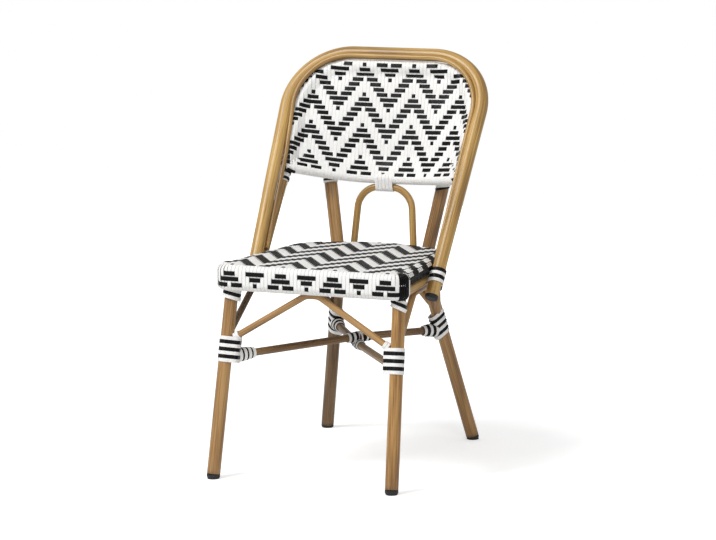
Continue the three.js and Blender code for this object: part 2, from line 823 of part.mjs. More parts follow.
// Strand bindings. A strand is a flat band laid round a tube. It runs level over the far half of
// each loop and steps to its next level over the near half, where a stretcher may leave the tube.
const bindings = new THREE.Group();
const strandCornerCount = 4;
const loopAngle = 2 * Math.PI / strandStepCount;
const laidShare = 1 / Math.cos(loopAngle / 2);

// Turn and run of each station; near holds the runs at which the steps pass the near side
function strandStations(levels, near) {
  const stations = [];
  levels.forEach((level, index) => {
    for (let step = strandStepCount / 4; step <= 3 * strandStepCount / 4; step += 1) {
      stations.push([index * strandStepCount + step, level]);
    }
    if (index < levels.length - 1) {
      const passing = near[index];
      nearTurnShares.forEach((share, turn) => {
        const run = share < 0.5
          ? level + (passing - level) * 2 * share
          : passing + (levels[index + 1] - passing) * (2 * share - 1);
        stations.push([index * strandStepCount + 3 * strandStepCount / 4 + 1 + turn, run]);
      });
    }
  });
  return stations;
}

// place(angle, run, lift) gives the point at that angle and run, lifted off the tube
function strandGeometry(stations, width, place) {
  const positions = [];
  const faces = [];
  const half = width / 2;
  const section = [[-half, 0], [half, 0], [half, strandThickness], [-half, strandThickness]];
  for (const [turn, run] of stations) {
    for (const [offset, lift] of section) {
      positions.push(...place(turn * loopAngle, run + offset, lift).toArray());
    }
  }
  const count = strandCornerCount;
  for (let index = 0; index < stations.length - 1; index += 1) {
    for (let corner = 0; corner < count; corner += 1) {
      const here = index * count + corner;
      const next = index * count + (corner + 1) % count;
      addQuad(faces, here, next, next + count, here + count);
    }
  }
  const last = (stations.length - 1) * count;
  addQuad(faces, 3, 2, 1, 0);
  addQuad(faces, last, last + 1, last + 2, last + 3);
  const geometry = new THREE.BufferGeometry();
  geometry.setAttribute('position', new THREE.Float32BufferAttribute(positions, 3));
  geometry.setIndex(faces);
  geometry.computeVertexNormals();
  return geometry;
}

// Least distance between points of loops that lie half a turn or more apart
function leastGap(geometry) {
  const found = points(geometry);
  const pointsApart = strandCornerCount * strandStepCount / 2;
  let least = Infinity;
  found.forEach((point, index) => {
    for (let other = index + pointsApart; other < found.length; other += 1) {
      least = Math.min(least, point.distanceTo(found[other]));
    }
  });
  return least;
}

function addBinding(name, stripeLevels, nearRuns, width, place) {
  [['white', 0, whiteStrandFinish], ['black', 1, blackStrandFinish]].forEach(([colour, start, finish]) => {
    const levels = stripeLevels.filter((level, index) => index % 2 === start);
    const near = nearRuns.filter((run, index) => index % 2 === start);
    const geometry = strandGeometry(strandStations(levels, near), width, place);
    console.log(`${name}_${colour}: least gap to itself ${leastGap(geometry).toFixed(2)} mm`);
    addMesh(bindings, `${name}_${colour}`, geometry, finish);
  });
}

function stripeLevels(centre, count, width) {
  const pitch = width + strandGap;
  return Array.from({ length: count }, (unused, index) => centre + (index - (count - 1) / 2) * pitch);
}

// Steps that pass nothing go straight from one level to the next
function plainNearRuns(levels) {
  return levels.slice(1, -1);
}

// Steps that pass a stretcher part above and below it
function partedNearRuns(count, belowCount, centre, halfGap, width) {
  const pitch = width + strandGap;
  return Array.from({ length: count }, (unused, index) => (
    index < belowCount
      ? centre - halfGap - (belowCount - 1 - index) * pitch
      : centre + halfGap + (index - belowCount) * pitch
  ));
}

// Lays a strand on a round tube; toward is the side where the steps are
function roundTubePlace(origin, axis, toward, radius) {
  const near = toward.clone().addScaledVector(axis, -toward.dot(axis)).normalize();
  const side = axis.clone().cross(near);
  const laidRadius = (radius + clearance) * laidShare;
  return (angle, run, lift) => origin.clone()
    .addScaledVector(axis, run)
    .addScaledVector(near, (laidRadius + lift) * Math.cos(angle))
    .addScaledVector(side, (laidRadius + lift) * Math.sin(angle));
}

// A binding round a leg where a stretcher leaves it, and one round the stretcher beside the leg
function addJointBindings(name, legAxis, stretcherWay, height, bindingHeight, count, belowCount) {
  const origin = legPoint(legAxis, height);
  const axis = wayOf(legAxis);
  const slope = stretcherWay.dot(axis);
  const square = Math.sqrt(1 - slope * slope);
  const laidRadius = (tubeRadius + clearance) * laidShare + strandThickness;
  const exitRun = laidRadius * slope / square;
  const halfGap = stretcherRadius / square + strandWidth / 2 + 3 * clearance;
  const levels = stripeLevels((bindingHeight - height) / axis.z, count, strandWidth);
  addBinding(
    `${name}_binding`,
    levels,
    partedNearRuns(count - 2, belowCount, exitRun, halfGap, strandWidth),
    strandWidth,
    roundTubePlace(origin, axis, stretcherWay, tubeRadius),
  );
  const stubRadius = (stretcherRadius + clearance) * laidShare + strandThickness;
  const stubReach = (laidRadius + stubRadius * Math.abs(slope)) / square;
  const stubStart = stubReach + clearance + narrowStrandWidth / 2;
  const stubSpan = (stubStripeCount - 1) * (narrowStrandWidth + strandGap);
  const stubLevels = stripeLevels(stubStart + stubSpan / 2, stubStripeCount, narrowStrandWidth);
  addBinding(
    `${name}_stretcher_binding`,
    stubLevels,
    plainNearRuns(stubLevels),
    narrowStrandWidth,
    roundTubePlace(origin, stretcherWay, vector(0, 0, -1), stretcherRadius),
  );
}

const lowerWay = wayOf(lowerStretcherStations);
const upperWay = wayOf(upperStretcherStations);
addJointBindings('front_leg_left', frontLegAxis(-1), lowerWay, stretcherHeight,
  frontBindingHeight, frontStripeCount, 1);
addJointBindings('front_leg_right', frontLegAxis(1), upperWay, upperStretcherHeight,
  frontBindingHeight, frontStripeCount, 3);
addJointBindings('rear_leg_left', rearLegAxis(-1), upperWay.clone().negate(), upperStretcherHeight,
  rearBindingHeight, rearStripeCount, 2);
addJointBindings('rear_leg_right', rearLegAxis(1), lowerWay.clone().negate(), stretcherHeight,
  rearBindingHeight, rearStripeCount, 1);

const shortSpan = (shortStripeCount - 1) * (narrowStrandWidth + strandGap) + narrowStrandWidth;

for (const [name, side] of sideNames) {
  const legAxis = frontLegAxis(side);
  const legTopLevels = stripeLevels(-shortSpan / 2 - strandWidth / 2, shortStripeCount, narrowStrandWidth);
  addBinding(`front_leg_top_${name}_binding`, legTopLevels, plainNearRuns(legTopLevels), narrowStrandWidth,
    roundTubePlace(legAxis[1], wayOf(legAxis), vector(-side, 1, 0), tubeRadius));
  const hoopSide = side > 0 ? hoopStations : hoopStations.slice().reverse();
  const hoopOrigin = legPoint(hoopSide, hoopBindingHeight);
  const hoopLevels = stripeLevels(0, shortStripeCount, strandWidth);
  addBinding(`hoop_end_${name}_binding`, hoopLevels, plainNearRuns(hoopLevels), strandWidth,
    roundTubePlace(hoopOrigin, wayOf(hoopSide), vector(-side, 0, 0), tubeRadius));
}

// The lashing round the crossing of the stretchers: its loops stand across the chair
const crossing = along(lowerStretcherStations[0], lowerStretcherStations[1],
  lowerStretcherStations[0].x / (lowerStretcherStations[0].x - lowerStretcherStations[1].x));

function lashingPlace(angle, run, lift) {
  const shift = run * lowerWay.x / lowerWay.y;
  const rise = stretcherRadius + strandThickness + clearance;
  const across = Math.cos(angle);
  const upward = -Math.sin(angle);
  const lead = (upperStretcherHeight - stretcherHeight) / 2 * upward - shift * across;
  const upperShare = THREE.MathUtils.clamp(0.5 + lead / stretcherRadius, 0, 1);
  return vector(
    (1 - 2 * upperShare) * shift + (rise / lowerWay.y * laidShare + lift) * across,
    crossing.y + run,
    THREE.MathUtils.lerp(stretcherHeight, upperStretcherHeight, upperShare)
      + (rise * laidShare + lift) * upward,
  );
}

const lashingLevels = stripeLevels(0, stubStripeCount, narrowStrandWidth);
addBinding('stretcher_crossing_binding', lashingLevels, plainNearRuns(lashingLevels),
  narrowStrandWidth, lashingPlace);

const chair = new THREE.Group();
chair.add(frame, weave, bindings);

export default chair;
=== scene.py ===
"""Bistro chair: bamboo-effect tube frame, woven seat and back, wound strand bindings."""
import math
import bpy
import numpy as np
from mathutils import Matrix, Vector


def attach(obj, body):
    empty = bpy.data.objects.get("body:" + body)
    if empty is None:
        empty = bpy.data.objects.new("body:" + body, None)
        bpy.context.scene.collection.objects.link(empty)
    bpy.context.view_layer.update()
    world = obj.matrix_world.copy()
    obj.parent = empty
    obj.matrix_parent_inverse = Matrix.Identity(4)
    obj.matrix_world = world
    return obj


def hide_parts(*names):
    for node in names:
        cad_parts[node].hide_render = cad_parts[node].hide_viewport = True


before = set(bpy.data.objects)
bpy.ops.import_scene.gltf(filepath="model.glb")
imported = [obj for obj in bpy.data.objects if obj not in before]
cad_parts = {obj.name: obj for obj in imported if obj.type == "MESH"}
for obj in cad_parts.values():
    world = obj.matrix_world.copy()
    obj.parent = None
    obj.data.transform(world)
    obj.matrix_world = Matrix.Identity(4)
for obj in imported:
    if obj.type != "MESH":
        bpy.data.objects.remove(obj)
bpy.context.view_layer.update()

MM = 0.001

# Sizes in millimetres. Stretchers, arch, rod, feet of braces and left ends of weaves differ from the solids.

CLEARANCE = 0.3
TUBE_R = 14.0
RING_R = 10.0
ROD_R = 5.0
PANEL_TUBE_R = 9.0
ARCH_R = 7.5
STRETCHER_R = 8.0
BRACE_R = 7.0
SLEEVE = 2.3
BAND = 2.6
SOLID_BINDING = 1.3

FRONT_FOOT = (199.0, -284.0, 0.0)
REAR_FOOT = (175.0, 284.0, 0.0)
KNEE = (99.0, 171.0, 398.0)
KNEE_R = 120.0
UPRIGHT_TOP = (136.0, 203.0, 598.0)

UPPER_RING_Z = 432.0
LOWER_RING_Z = 404.0
RING_SEAM_X = 0.15
SEAT_FRONT = 233.0
SEAT_FRONT_HALF = 197.0
FRONT_CORNER_R = 18.0
REAR_CORNER_R = 70.0
REAR_CROWN_R = 150.0
REAR_SWEEP = math.radians(20.6)

# The back. A place beside the hoop is a height, how far in from the hoop and how far back from it.

LEAN = math.radians(33.9)
HOOP_END_Z = 378.0
HOOP_END_Y = -69.5
HOOP_END_HALF = 206.0
HOOP_BAR_Z = 851.5
HOOP_BAR_HALF = 231.0
HOOP_CORNER_R = 132.0

PANEL_END = (392.0, 2.0, 25.8)
PANEL_CORNER = (606.0, 18.5, 26.5)
PANEL_TOP_INSET = 28.5
PANEL_TOP_SETBACK = 3.0
RAIL_Z = 584.0
RAIL_END_Z = 600.0
RAIL_Y = 195.0
LEFT_RISE = 11.0

ROD_PITCH = TUBE_R + ROD_R + CLEARANCE
ROD_TOP_PITCH = 1.12 * ROD_PITCH
ROD_LOW = math.radians(34)
ROD_TOP = math.radians(-46)
ROD_MIDDLE = (640.0, 0.97 * ROD_PITCH, 0.3 * ROD_PITCH)

ARCH_HALF = 73.0
ARCH_SHOULDER_HALF = 60.0
ARCH_BEND_R = 50.0

STRETCHER_Z = 250.0
STRETCHER_REAR_Z = 255.5
STRETCHER_BEND_R = 600.0
CROSSING_HIGH = 260.4
CROSSING_LOW = 244.1
FRONT_BRACE_FOOT_Z = 290.0
FRONT_BRACE_FOOT_IN = 15.0
FRONT_BRACE_CROWN_HALF = 14.0
FRONT_BRACE_TUCK = math.radians(34.0)
REAR_BRACE_FOOT_Z = 298.0
REAR_BRACE_SHOULDER = 58.0
SIDE_BRACE_FOOT_Z = 289.0
SIDE_BRACE_TUCK = 7.0
SIDE_BRACE_FRONT = -108.0
SIDE_BRACE_REAR = 84.0
BRACE_BEND_R = 32.0

BEND_STEP = math.radians(4)
CROWN_STEP = math.radians(15)
STRETCHER_STEP = math.radians(0.5)

FRONT_TOP = (186.5, -208.5, LOWER_RING_Z - RING_R - BAND - CLEARANCE)
BRACE_CROWN_Z = LOWER_RING_Z - RING_R - CLEARANCE - BRACE_R
ARCH_CROWN_Z = RAIL_Z - PANEL_TUBE_R - SLEEVE - CLEARANCE - ARCH_R

# The camera of the photograph, in metres. Some turns of strand are slanted across its view.

PHOTO_WIDTH = 716
FOCAL_PIXELS = 2848
SENSOR_WIDTH = 36
CAMERA_AZIMUTH = math.radians(21.72)
CAMERA_ELEVATION = math.radians(8.80)
CAMERA_DISTANCE = 6.054
CAMERA_TARGET = (0.0127, 0, 0.4104)
CAMERA_CLIP_END = 50


# Vectors and routes

def vec(*p):
    return np.array(p, float)


def unit(v):
    return v / np.linalg.norm(v)


def units(rows):
    return rows / np.linalg.norm(rows, axis=1, keepdims=True)


def on_side(side, p):
    """A point as it is for the right side, 1, or mirrored to the left one, -1."""
    return vec(*p) * vec(side, 1, 1)


def interpolated(at, known, points):
    return np.stack([np.interp(at, known, column) for column in points.T], -1)


def rotated(v, axis, angle):
    return (v * math.cos(angle) + np.cross(axis, v) * math.sin(angle)
            + axis * np.dot(axis, v) * (1 - math.cos(angle)))


def bent(corners, radii, step=BEND_STEP):
    """A polyline whose inner corners are bent to the given radii."""
    out = [corners[0]]
    for i in range(1, len(corners) - 1):
        c = corners[i]
        back, forth = unit(corners[i - 1] - c), unit(corners[i + 1] - c)
        half = math.acos(np.clip(np.dot(back, forth), -1, 1)) / 2
        r = radii[i - 1]
        centre = c + unit(back + forth) * r / math.sin(half)
        arm = c + back * r / math.tan(half) - centre
        axis = unit(np.cross(forth, back))
        turn = math.pi - 2 * half
        n = max(2, math.ceil(turn / step))
        out += [centre + rotated(arm, axis, turn * k / n) for k in range(n + 1)]
    out.append(corners[-1])
    return out


def inverted_u(right, radii):
    """A bent route up through the given corners on the right, and down on the left."""
    return bent(right + [on_side(-1, p) for p in reversed(right)], radii + radii[::-1])


def at_height(route, z):
    """The point at height z on the line through the first two points of a route."""
    a, b = route[:2]
    return a + (b - a) * (z - a[2]) / (b[2] - a[2])


def resampled(stations, spacing):
    """The same route with stations no further apart than the spacing."""
    out = [stations[0]]
    for a, b in zip(stations, stations[1:]):
        n = max(1, math.ceil(np.linalg.norm(b - a) / spacing))
        out += [a + (b - a) * k / n for k in range(1, n + 1)]
    return out


def smooth(share):
    share = np.clip(share, 0, 1)
    return share * share * (3 - 2 * share)


# Axes of the tubes

UP = vec(0, 0, 1)
VIEW_RIGHT = vec(math.cos(CAMERA_AZIMUTH), math.sin(CAMERA_AZIMUTH), 0)


def front_axis(side):
    return [on_side(side, FRONT_FOOT), on_side(side, FRONT_TOP)]


def rear_stations(side, step=BEND_STEP):
    return bent([on_side(side, p) for p in (REAR_FOOT, KNEE, UPRIGHT_TOP)], [KNEE_R], step)


LEAN_UP = vec(0, math.sin(LEAN), math.cos(LEAN))
LEAN_BACK = vec(0, math.cos(LEAN), -math.sin(LEAN))
BAR_RISE = (HOOP_BAR_Z - HOOP_END_Z) / math.cos(LEAN)


def on_lean(x, rise, setback):
    """A point beside the plane of the hoop, up it from the hoop's ends and back from it."""
    p = vec(0, HOOP_END_Y, HOOP_END_Z) + LEAN_UP * rise + LEAN_BACK * setback
    p[0] = x
    return p


def rise_at(z, setback=0.0):
    return (z - HOOP_END_Z + setback * math.sin(LEAN)) / math.cos(LEAN)


def hoop_half(rise):
    return HOOP_END_HALF + (HOOP_BAR_HALF - HOOP_END_HALF) * rise / BAR_RISE


def beside_hoop(z, inset, setback):
    """A point in from the right side of the hoop and back from it."""
    rise = rise_at(z, setback)
    return on_lean(hoop_half(rise) - inset, rise, setback)


HOOP = inverted_u([on_lean(HOOP_END_HALF, 0, 0), on_lean(HOOP_BAR_HALF, BAR_RISE, 0)], [HOOP_CORNER_R])
PANEL_FRAME = inverted_u([
    beside_hoop(*PANEL_END),
    beside_hoop(*PANEL_CORNER),
    on_lean(HOOP_BAR_HALF - PANEL_TOP_INSET, BAR_RISE - PANEL_TOP_INSET, PANEL_TOP_SETBACK),
], [HOOP_CORNER_R, HOOP_CORNER_R - PANEL_TOP_INSET])

ROD_FOOT_Z = UPPER_RING_Z + RING_R + SLEEVE + CLEARANCE + ROD_R * math.sin(LEAN)
ROD_TOP_INSET = ROD_TOP_PITCH * math.cos(ROD_TOP)
ROD = inverted_u([
    beside_hoop(ROD_FOOT_Z, ROD_PITCH * math.cos(ROD_LOW), ROD_PITCH * math.sin(ROD_LOW)),
    beside_hoop(*ROD_MIDDLE),
    on_lean(HOOP_BAR_HALF - ROD_TOP_INSET, BAR_RISE - ROD_TOP_INSET, ROD_TOP_PITCH * math.sin(ROD_TOP)),
], [HOOP_CORNER_R, HOOP_CORNER_R - ROD_TOP_INSET])

SIDE_Y = HOOP_END_Y + (LOWER_RING_Z - HOOP_END_Z) * math.tan(LEAN)
SIDE_HALF = hoop_half(rise_at(LOWER_RING_Z)) - TUBE_R - (SOLID_BINDING + 4 * CLEARANCE) - RING_R
TAPER = (SEAT_FRONT_HALF - SIDE_HALF) / (SIDE_Y + SEAT_FRONT - FRONT_CORNER_R)
CROWN_Y = min(
    p[1] - (TUBE_R + SLEEVE + RING_R + CLEARANCE - p[0] * math.sin(REAR_SWEEP)) / math.cos(REAR_SWEEP)
    for p in rear_stations(1, CROWN_STEP)
    if LOWER_RING_Z - 2 * TUBE_R < p[2] < UPPER_RING_Z + 2 * TUBE_R)


def seat_half(y):
    """Half the width of the seat rings, between their axes, along the straight sides."""
    return SEAT_FRONT_HALF - TAPER * (y + SEAT_FRONT - FRONT_CORNER_R)


def seat_ring(z):
    rear_half = seat_half(CROWN_Y) / (1 - TAPER * math.tan(REAR_SWEEP))
    right = [vec(RING_SEAM_X, -SEAT_FRONT, z), vec(seat_half(-SEAT_FRONT), -SEAT_FRONT, z),
             vec(rear_half, CROWN_Y - rear_half * math.tan(REAR_SWEEP), z)]
    corners = right + [vec(0, CROWN_Y, z)] + [on_side(-1, p) for p in reversed(right)]
    return bent(corners, [FRONT_CORNER_R, REAR_CORNER_R, REAR_CROWN_R, REAR_CORNER_R, FRONT_CORNER_R])


def rear_reach(x):
    """How far back the axis of the rings runs, beside the crown at their rear."""
    return CROWN_Y - x * math.tan(REAR_SWEEP)


def stretcher(side, crossing_z):
    """From the front leg on one side to the other rear leg, eased up or down where they cross."""
    front, rear = at_height(front_axis(side), STRETCHER_Z), at_height(rear_stations(-side), STRETCHER_REAR_Z)
    middle = front + (rear - front) * front[0] / (front[0] - rear[0])
    middle[2] = crossing_z
    return bent([front, middle, rear], [STRETCHER_BEND_R], STRETCHER_STEP)


LOWER_STRETCHER = stretcher(-1, CROSSING_HIGH)
UPPER_STRETCHER = stretcher(1, CROSSING_LOW)
FRONT_BRACE_SEAT = RING_R + BAND + CLEARANCE + BRACE_R
FRONT_BRACE = inverted_u([
    at_height(front_axis(1), FRONT_BRACE_FOOT_Z) - vec(FRONT_BRACE_FOOT_IN, 0, 0),
    vec(FRONT_BRACE_CROWN_HALF, -SEAT_FRONT + FRONT_BRACE_SEAT * math.sin(FRONT_BRACE_TUCK),
        LOWER_RING_Z - FRONT_BRACE_SEAT * math.cos(FRONT_BRACE_TUCK)),
], [BRACE_BEND_R])
REAR_BRACE = inverted_u([
    at_height(rear_stations(1), REAR_BRACE_FOOT_Z),
    vec(REAR_BRACE_SHOULDER, rear_reach(REAR_BRACE_SHOULDER), BRACE_CROWN_Z),
], [BRACE_BEND_R])


def side_brace(side):
    return bent([
        at_height(front_axis(side), SIDE_BRACE_FOOT_Z),
        vec(side * (seat_half(SIDE_BRACE_FRONT) - SIDE_BRACE_TUCK), SIDE_BRACE_FRONT, BRACE_CROWN_Z),
        vec(side * (seat_half(SIDE_BRACE_REAR) - SIDE_BRACE_TUCK), SIDE_BRACE_REAR, BRACE_CROWN_Z),
        at_height(rear_stations(side), SIDE_BRACE_FOOT_Z),
    ], [BRACE_BEND_R, BRACE_BEND_R])


ARCH_FOOT_Y = rear_reach(ARCH_HALF) + (RING_R + SLEEVE + CLEARANCE + ARCH_R) / math.cos(REAR_SWEEP)
ARCH = inverted_u([
    vec(ARCH_HALF, ARCH_FOOT_Y, LOWER_RING_Z - RING_R),
    vec(ARCH_SHOULDER_HALF, RAIL_Y, ARCH_CROWN_Z),
], [ARCH_BEND_R])

PANEL_SIDE = PANEL_FRAME[:len(PANEL_FRAME) // 2]
RAIL_END = at_height(PANEL_SIDE, RAIL_END_Z)
RAIL_CROWN = vec(0, RAIL_Y, RAIL_Z)
PANEL_TOP = PANEL_SIDE[-1] * vec(0, 1, 1)


# Materials. Each point has a grain: its length along the piece and two measures across, in metres.

def new_material(name):
    material = bpy.data.materials.new(name)
    material.use_nodes = True
    return material, material.node_tree


def feed(tree, node, inputs):
    """Links each input that is given a socket, and sets the others."""
    for key, value in inputs.items():
        if isinstance(value, bpy.types.NodeSocket):
            tree.links.new(value, node.inputs[key])
        else:
            node.inputs[key].default_value = value


def add_node(tree, kind, output, inputs, **settings):
    """Adds a node, and gives one of its outputs."""
    node = tree.nodes.new(f"ShaderNode{kind}")
    for name, value in settings.items():
        setattr(node, name, value)
    feed(tree, node, inputs)
    return node.outputs[output]


def add_ramp(tree, share, stops):
    """Adds a colour ramp with stops of place and colour."""
    node = tree.nodes.new("ShaderNodeValToRGB")
    elements = node.color_ramp.elements
    while len(elements) < len(stops):
        elements.new(0.5)
    for element, (place, colour) in zip(elements, stops):
        element.position = place
        element.color = (*colour, 1)
    feed(tree, node, {"Fac": share})
    return node.outputs["Color"]


def add_noise(tree, vector, scale, location=(0, 0, 0), **inputs):
    """Adds noise on a vector that is first stretched and moved."""
    place = add_node(tree, "Mapping", "Vector", {"Vector": vector, "Scale": scale, "Location": location})
    return add_node(tree, "TexNoise", "Fac", {"Vector": place, "Scale": 1, **inputs})


def add_bump(tree, height, strength, depth):
    return add_node(tree, "Bump", "Normal", {"Height": height, "Strength": strength, "Distance": depth})


def bamboo_material(name, palette, seed, painted_shade):
    """Painted tube with lengthwise brush streaks.

    The last argument darkens the colour from the start of the tube as painted shade: a tone and the lengths
    in metres over which it gives way to the full colour.
    """
    light, middle, dark = palette
    tone, tone_end, full_start = painted_shade
    material, tree = new_material(name)
    grain = add_node(tree, "Attribute", "Vector", {}, attribute_name="grain")
    streaks = add_noise(tree, grain, (9, 420, 420), (seed, seed * 3.1, 0), Detail=4, Roughness=0.6)
    patches = add_noise(tree, grain, (4, 30, 30), (seed * 1.7, 0, seed), Detail=2)
    streak_part = add_node(tree, "Math", 0, {0: streaks, 1: 0.55}, operation="MULTIPLY")
    blend = add_node(tree, "Math", 0, {0: patches, 1: 0.45, 2: streak_part}, operation="MULTIPLY_ADD")
    colour = add_ramp(tree, blend, [(0.4, dark), (0.5, middle), (0.6, light)])
    along = add_node(tree, "SeparateXYZ", "X", {0: grain})
    # Painted shade: the colour is scaled by the tone near the start of the tube and comes back to full
    # further along.
    shade_factor = add_node(tree, "MapRange", 0,
                     {"Value": along, "From Min": tone_end, "From Max": full_start, "To Min": tone})
    feed(tree, tree.nodes["Principled BSDF"], {
        "Base Color": add_node(tree, "VectorMath", 0, {0: colour, "Scale": shade_factor}, operation="SCALE"),
        "Roughness": add_node(tree, "MapRange", 0, {"Value": streaks, "To Min": 0.34, "To Max": 0.5}),
        "Normal": add_bump(tree, streaks, 0.12, 0.0003),
        "Coat Weight": 0.25,
        "Coat Roughness": 0.25,
    })
    return material


def strand_material(name, low, high, roughness, specular):
    """Extruded plastic strand: a faint change of tone along it and fine lengthwise ribs."""
    material, tree = new_material(name)
    grain = add_node(tree, "Attribute", "Vector", {}, attribute_name="grain")
    noise = add_noise(tree, grain, (25, 900, 900), Detail=3)
    gloss = {"Value": noise, "To Min": roughness, "To Max": roughness + 0.14}
    feed(tree, tree.nodes["Principled BSDF"], {
        "Base Color": add_ramp(tree, noise, [(0.3, low), (0.7, high)]),
        "Roughness": add_node(tree, "MapRange", 0, gloss),
        "Normal": add_bump(tree, noise, 0.15, 0.0002),
        "Specular IOR Level": specular,
    })
    return material


def moulded_material(name, low, high):
    """Plastic with a fine moulded grain."""
    material, tree = new_material(name)
    place = add_node(tree, "TexCoord", "Object", {})
    noise = add_node(tree, "TexNoise", "Fac", {"Vector": place, "Scale": 900, "Detail": 3})
    feed(tree, tree.nodes["Principled BSDF"], {
        "Base Color": add_ramp(tree, noise, [(0.35, low), (0.65, high)]),
        "Normal": add_bump(tree, noise, 0.2, 0.0002),
        "Roughness": 0.55,
    })
    return material


# Light, middle and dark paint of the tubes; the darkest palette is partly painted shade

TAN = [(0.54, 0.335, 0.105), (0.39, 0.22, 0.058), (0.21, 0.11, 0.026)]
GOLD = [(0.61, 0.39, 0.125), (0.455, 0.268, 0.073), (0.27, 0.15, 0.037)]
TAWNY = [(0.53, 0.3, 0.098), (0.385, 0.2, 0.058), (0.19, 0.092, 0.025)]
BROWN = [(0.43, 0.247, 0.088), (0.295, 0.153, 0.049), (0.145, 0.07, 0.021)]
DEEP = [(0.3, 0.172, 0.064), (0.2, 0.105, 0.036), (0.1, 0.05, 0.017)]
# Darkest palette: partly the left side brace's own dark paint and partly painted shade under the seat.
UMBER_PAINT_AND_SHADE = [(0.17, 0.105, 0.05), (0.11, 0.064, 0.028), (0.055, 0.03, 0.013)]
STRAND_WORDS = ("white", "black")
STRANDS = (
    strand_material("white_strand_plastic", (0.82, 0.815, 0.795), (0.9, 0.895, 0.88), 0.36, 0.3),
    strand_material("black_strand_plastic", (0.002, 0.002, 0.0022), (0.005, 0.005, 0.0055), 0.24, 0.17),
)
DARK_PLASTIC = moulded_material("dark_moulded_plastic", (0.007, 0.007, 0.0075), (0.016, 0.016, 0.0165))


# Meshes

TUBE_SPACING = 12.0
STRAND_THICKNESS = 1.25
RIDGES = 3
TURN_RIDGES = 4


def add_object(name, data):
    obj = bpy.data.objects.new(name, data)
    bpy.context.scene.collection.objects.link(obj)
    return obj


class Mesh:
    """Gathers points, faces and the grain of each point."""

    def __init__(self):
        self.points, self.faces, self.grain, self.count = [], [], [], 0

    def add(self, points, faces, grain):
        self.points.append(np.asarray(points, float).reshape(-1, 3))
        self.grain.append(np.asarray(grain, float).reshape(-1, 3))
        self.faces += [tuple(i + self.count for i in face) for face in faces]
        self.count += len(self.points[-1])

    def piece(self, name, material, nodes, slot):
        mesh = bpy.data.meshes.new(name)
        mesh.from_pydata((np.concatenate(self.points) * MM).tolist(), [], self.faces)
        mesh.polygons.foreach_set("use_smooth", [True] * len(mesh.polygons))
        attribute = mesh.attributes.new("grain", "FLOAT_VECTOR", "POINT")
        attribute.data.foreach_set("vector", (np.concatenate(self.grain) * MM).ravel())
        mesh.materials.append(material)
        mesh.update()
        obj = add_object(name, mesh)
        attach(obj, "root")
        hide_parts(*nodes)


def lengths(points):
    """How far along the points each one lies."""
    steps = np.linalg.norm(np.diff(points, axis=0), axis=1)
    return np.concatenate([[0], np.cumsum(steps)])


def tangents(points):
    return units(np.gradient(points, axis=0))


def grid_faces(rows, columns):
    """Quads between rings of points."""
    faces = []
    for i in range(rows - 1):
        for j in range(columns):
            k = (j + 1) % columns
            faces.append((i * columns + j, i * columns + k, (i + 1) * columns + k, (i + 1) * columns + j))
    return faces


def add_tube(mesh, stations, radius, sides):
    """A round tube with closed ends."""
    points = np.array(resampled(stations, TUBE_SPACING))
    ways = tangents(points)
    run = lengths(points)
    normal = unit(np.cross(ways[0], vec(1, 0.02, 0) if abs(ways[0][0]) < 0.9 else UP))
    angles = np.arange(sides) * 2 * math.pi / sides
    cosines, sines = np.cos(angles)[:, None], np.sin(angles)[:, None]
    rings, grains = [], []
    for p, way, s in zip(points, ways, run):
        normal = unit(normal - way * np.dot(normal, way))
        rings.append(p + radius * (cosines * normal + sines * np.cross(way, normal)))
        grains.append(np.hstack([np.full((sides, 1), s), radius * cosines, radius * sines]))
    total = np.concatenate(rings + [points[:1], points[-1:]])
    grain = np.concatenate(grains + [[[run[0], 0, 0]], [[run[-1], 0, 0]]])
    faces = grid_faces(len(rings), sides)
    start = len(rings) * sides
    for j in range(sides):
        k = (j + 1) % sides
        faces.append((start, k, j))
        faces.append((start + 1, start - sides + j, start - sides + k))
    mesh.add(total, faces, grain)


def strand_section(ridges, thickness):
    """Across, for a width of 1, and lift of a flat strand made of round cores side by side."""
    across, lift = [-0.5], [0.1]
    for k in range(ridges):
        centre = (2 * k + 1) / (2 * ridges) - 0.5
        across += [centre - 0.2 / ridges, centre + 0.2 / ridges]
        lift += [0.92, 0.92]
        if k < ridges - 1:
            across.append(centre + 0.5 / ridges)
            lift.append(0.45)
    across += [0.5, 0.42, -0.42]
    lift += [0.1, -0.5, -0.5]
    return np.array(across), np.array(lift) * thickness


def add_strand(mesh, points, normals, width, ridges=RIDGES, thickness=STRAND_THICKNESS):
    """A flat strand laid along points, its top towards the normals."""
    points, normals = np.asarray(points, float), np.asarray(normals, float)
    ways = tangents(points)
    normals = units(normals - ways * np.sum(normals * ways, axis=1, keepdims=True))
    sides = np.cross(ways, normals)
    across, lift = strand_section(ridges, thickness)
    n = len(across)
    widths = np.broadcast_to(width, len(points))
    spread = widths[:, None, None] * across[None, :, None]
    total = (points[:, None, :] + sides[:, None, :] * spread
             + normals[:, None, :] * lift[None, :, None]).reshape(-1, 3)
    run = lengths(points)
    grain = np.stack([np.repeat(run, n), spread.reshape(-1), np.tile(lift, len(points))], 1)
    faces = [tuple(reversed(f)) for f in grid_faces(len(points), n)]
    faces.append(tuple(range(n)))
    faces.append(tuple(reversed(range((len(points) - 1) * n, len(points) * n))))
    mesh.add(total, faces, grain)


# Bamboo-effect tubes

LEG_START_Z = 9.5
SIDES = {TUBE_R: 36, RING_R: 28, PANEL_TUBE_R: 28, STRETCHER_R: 28, ARCH_R: 24, BRACE_R: 24, ROD_R: 20}
# Painted shade along a tube: a tone, held up to the first length in metres from the tube's start and blended
# to the full colour by the second. Only the left rear leg has it, as painted shade below the seat.
NO_PAINTED_SHADE = (1.0, 0.0, 0.1)
PAINTED_SHADE = {"rear_leg_left": (0.5, 0.36, 0.45)}
SEED_STEP = 0.37


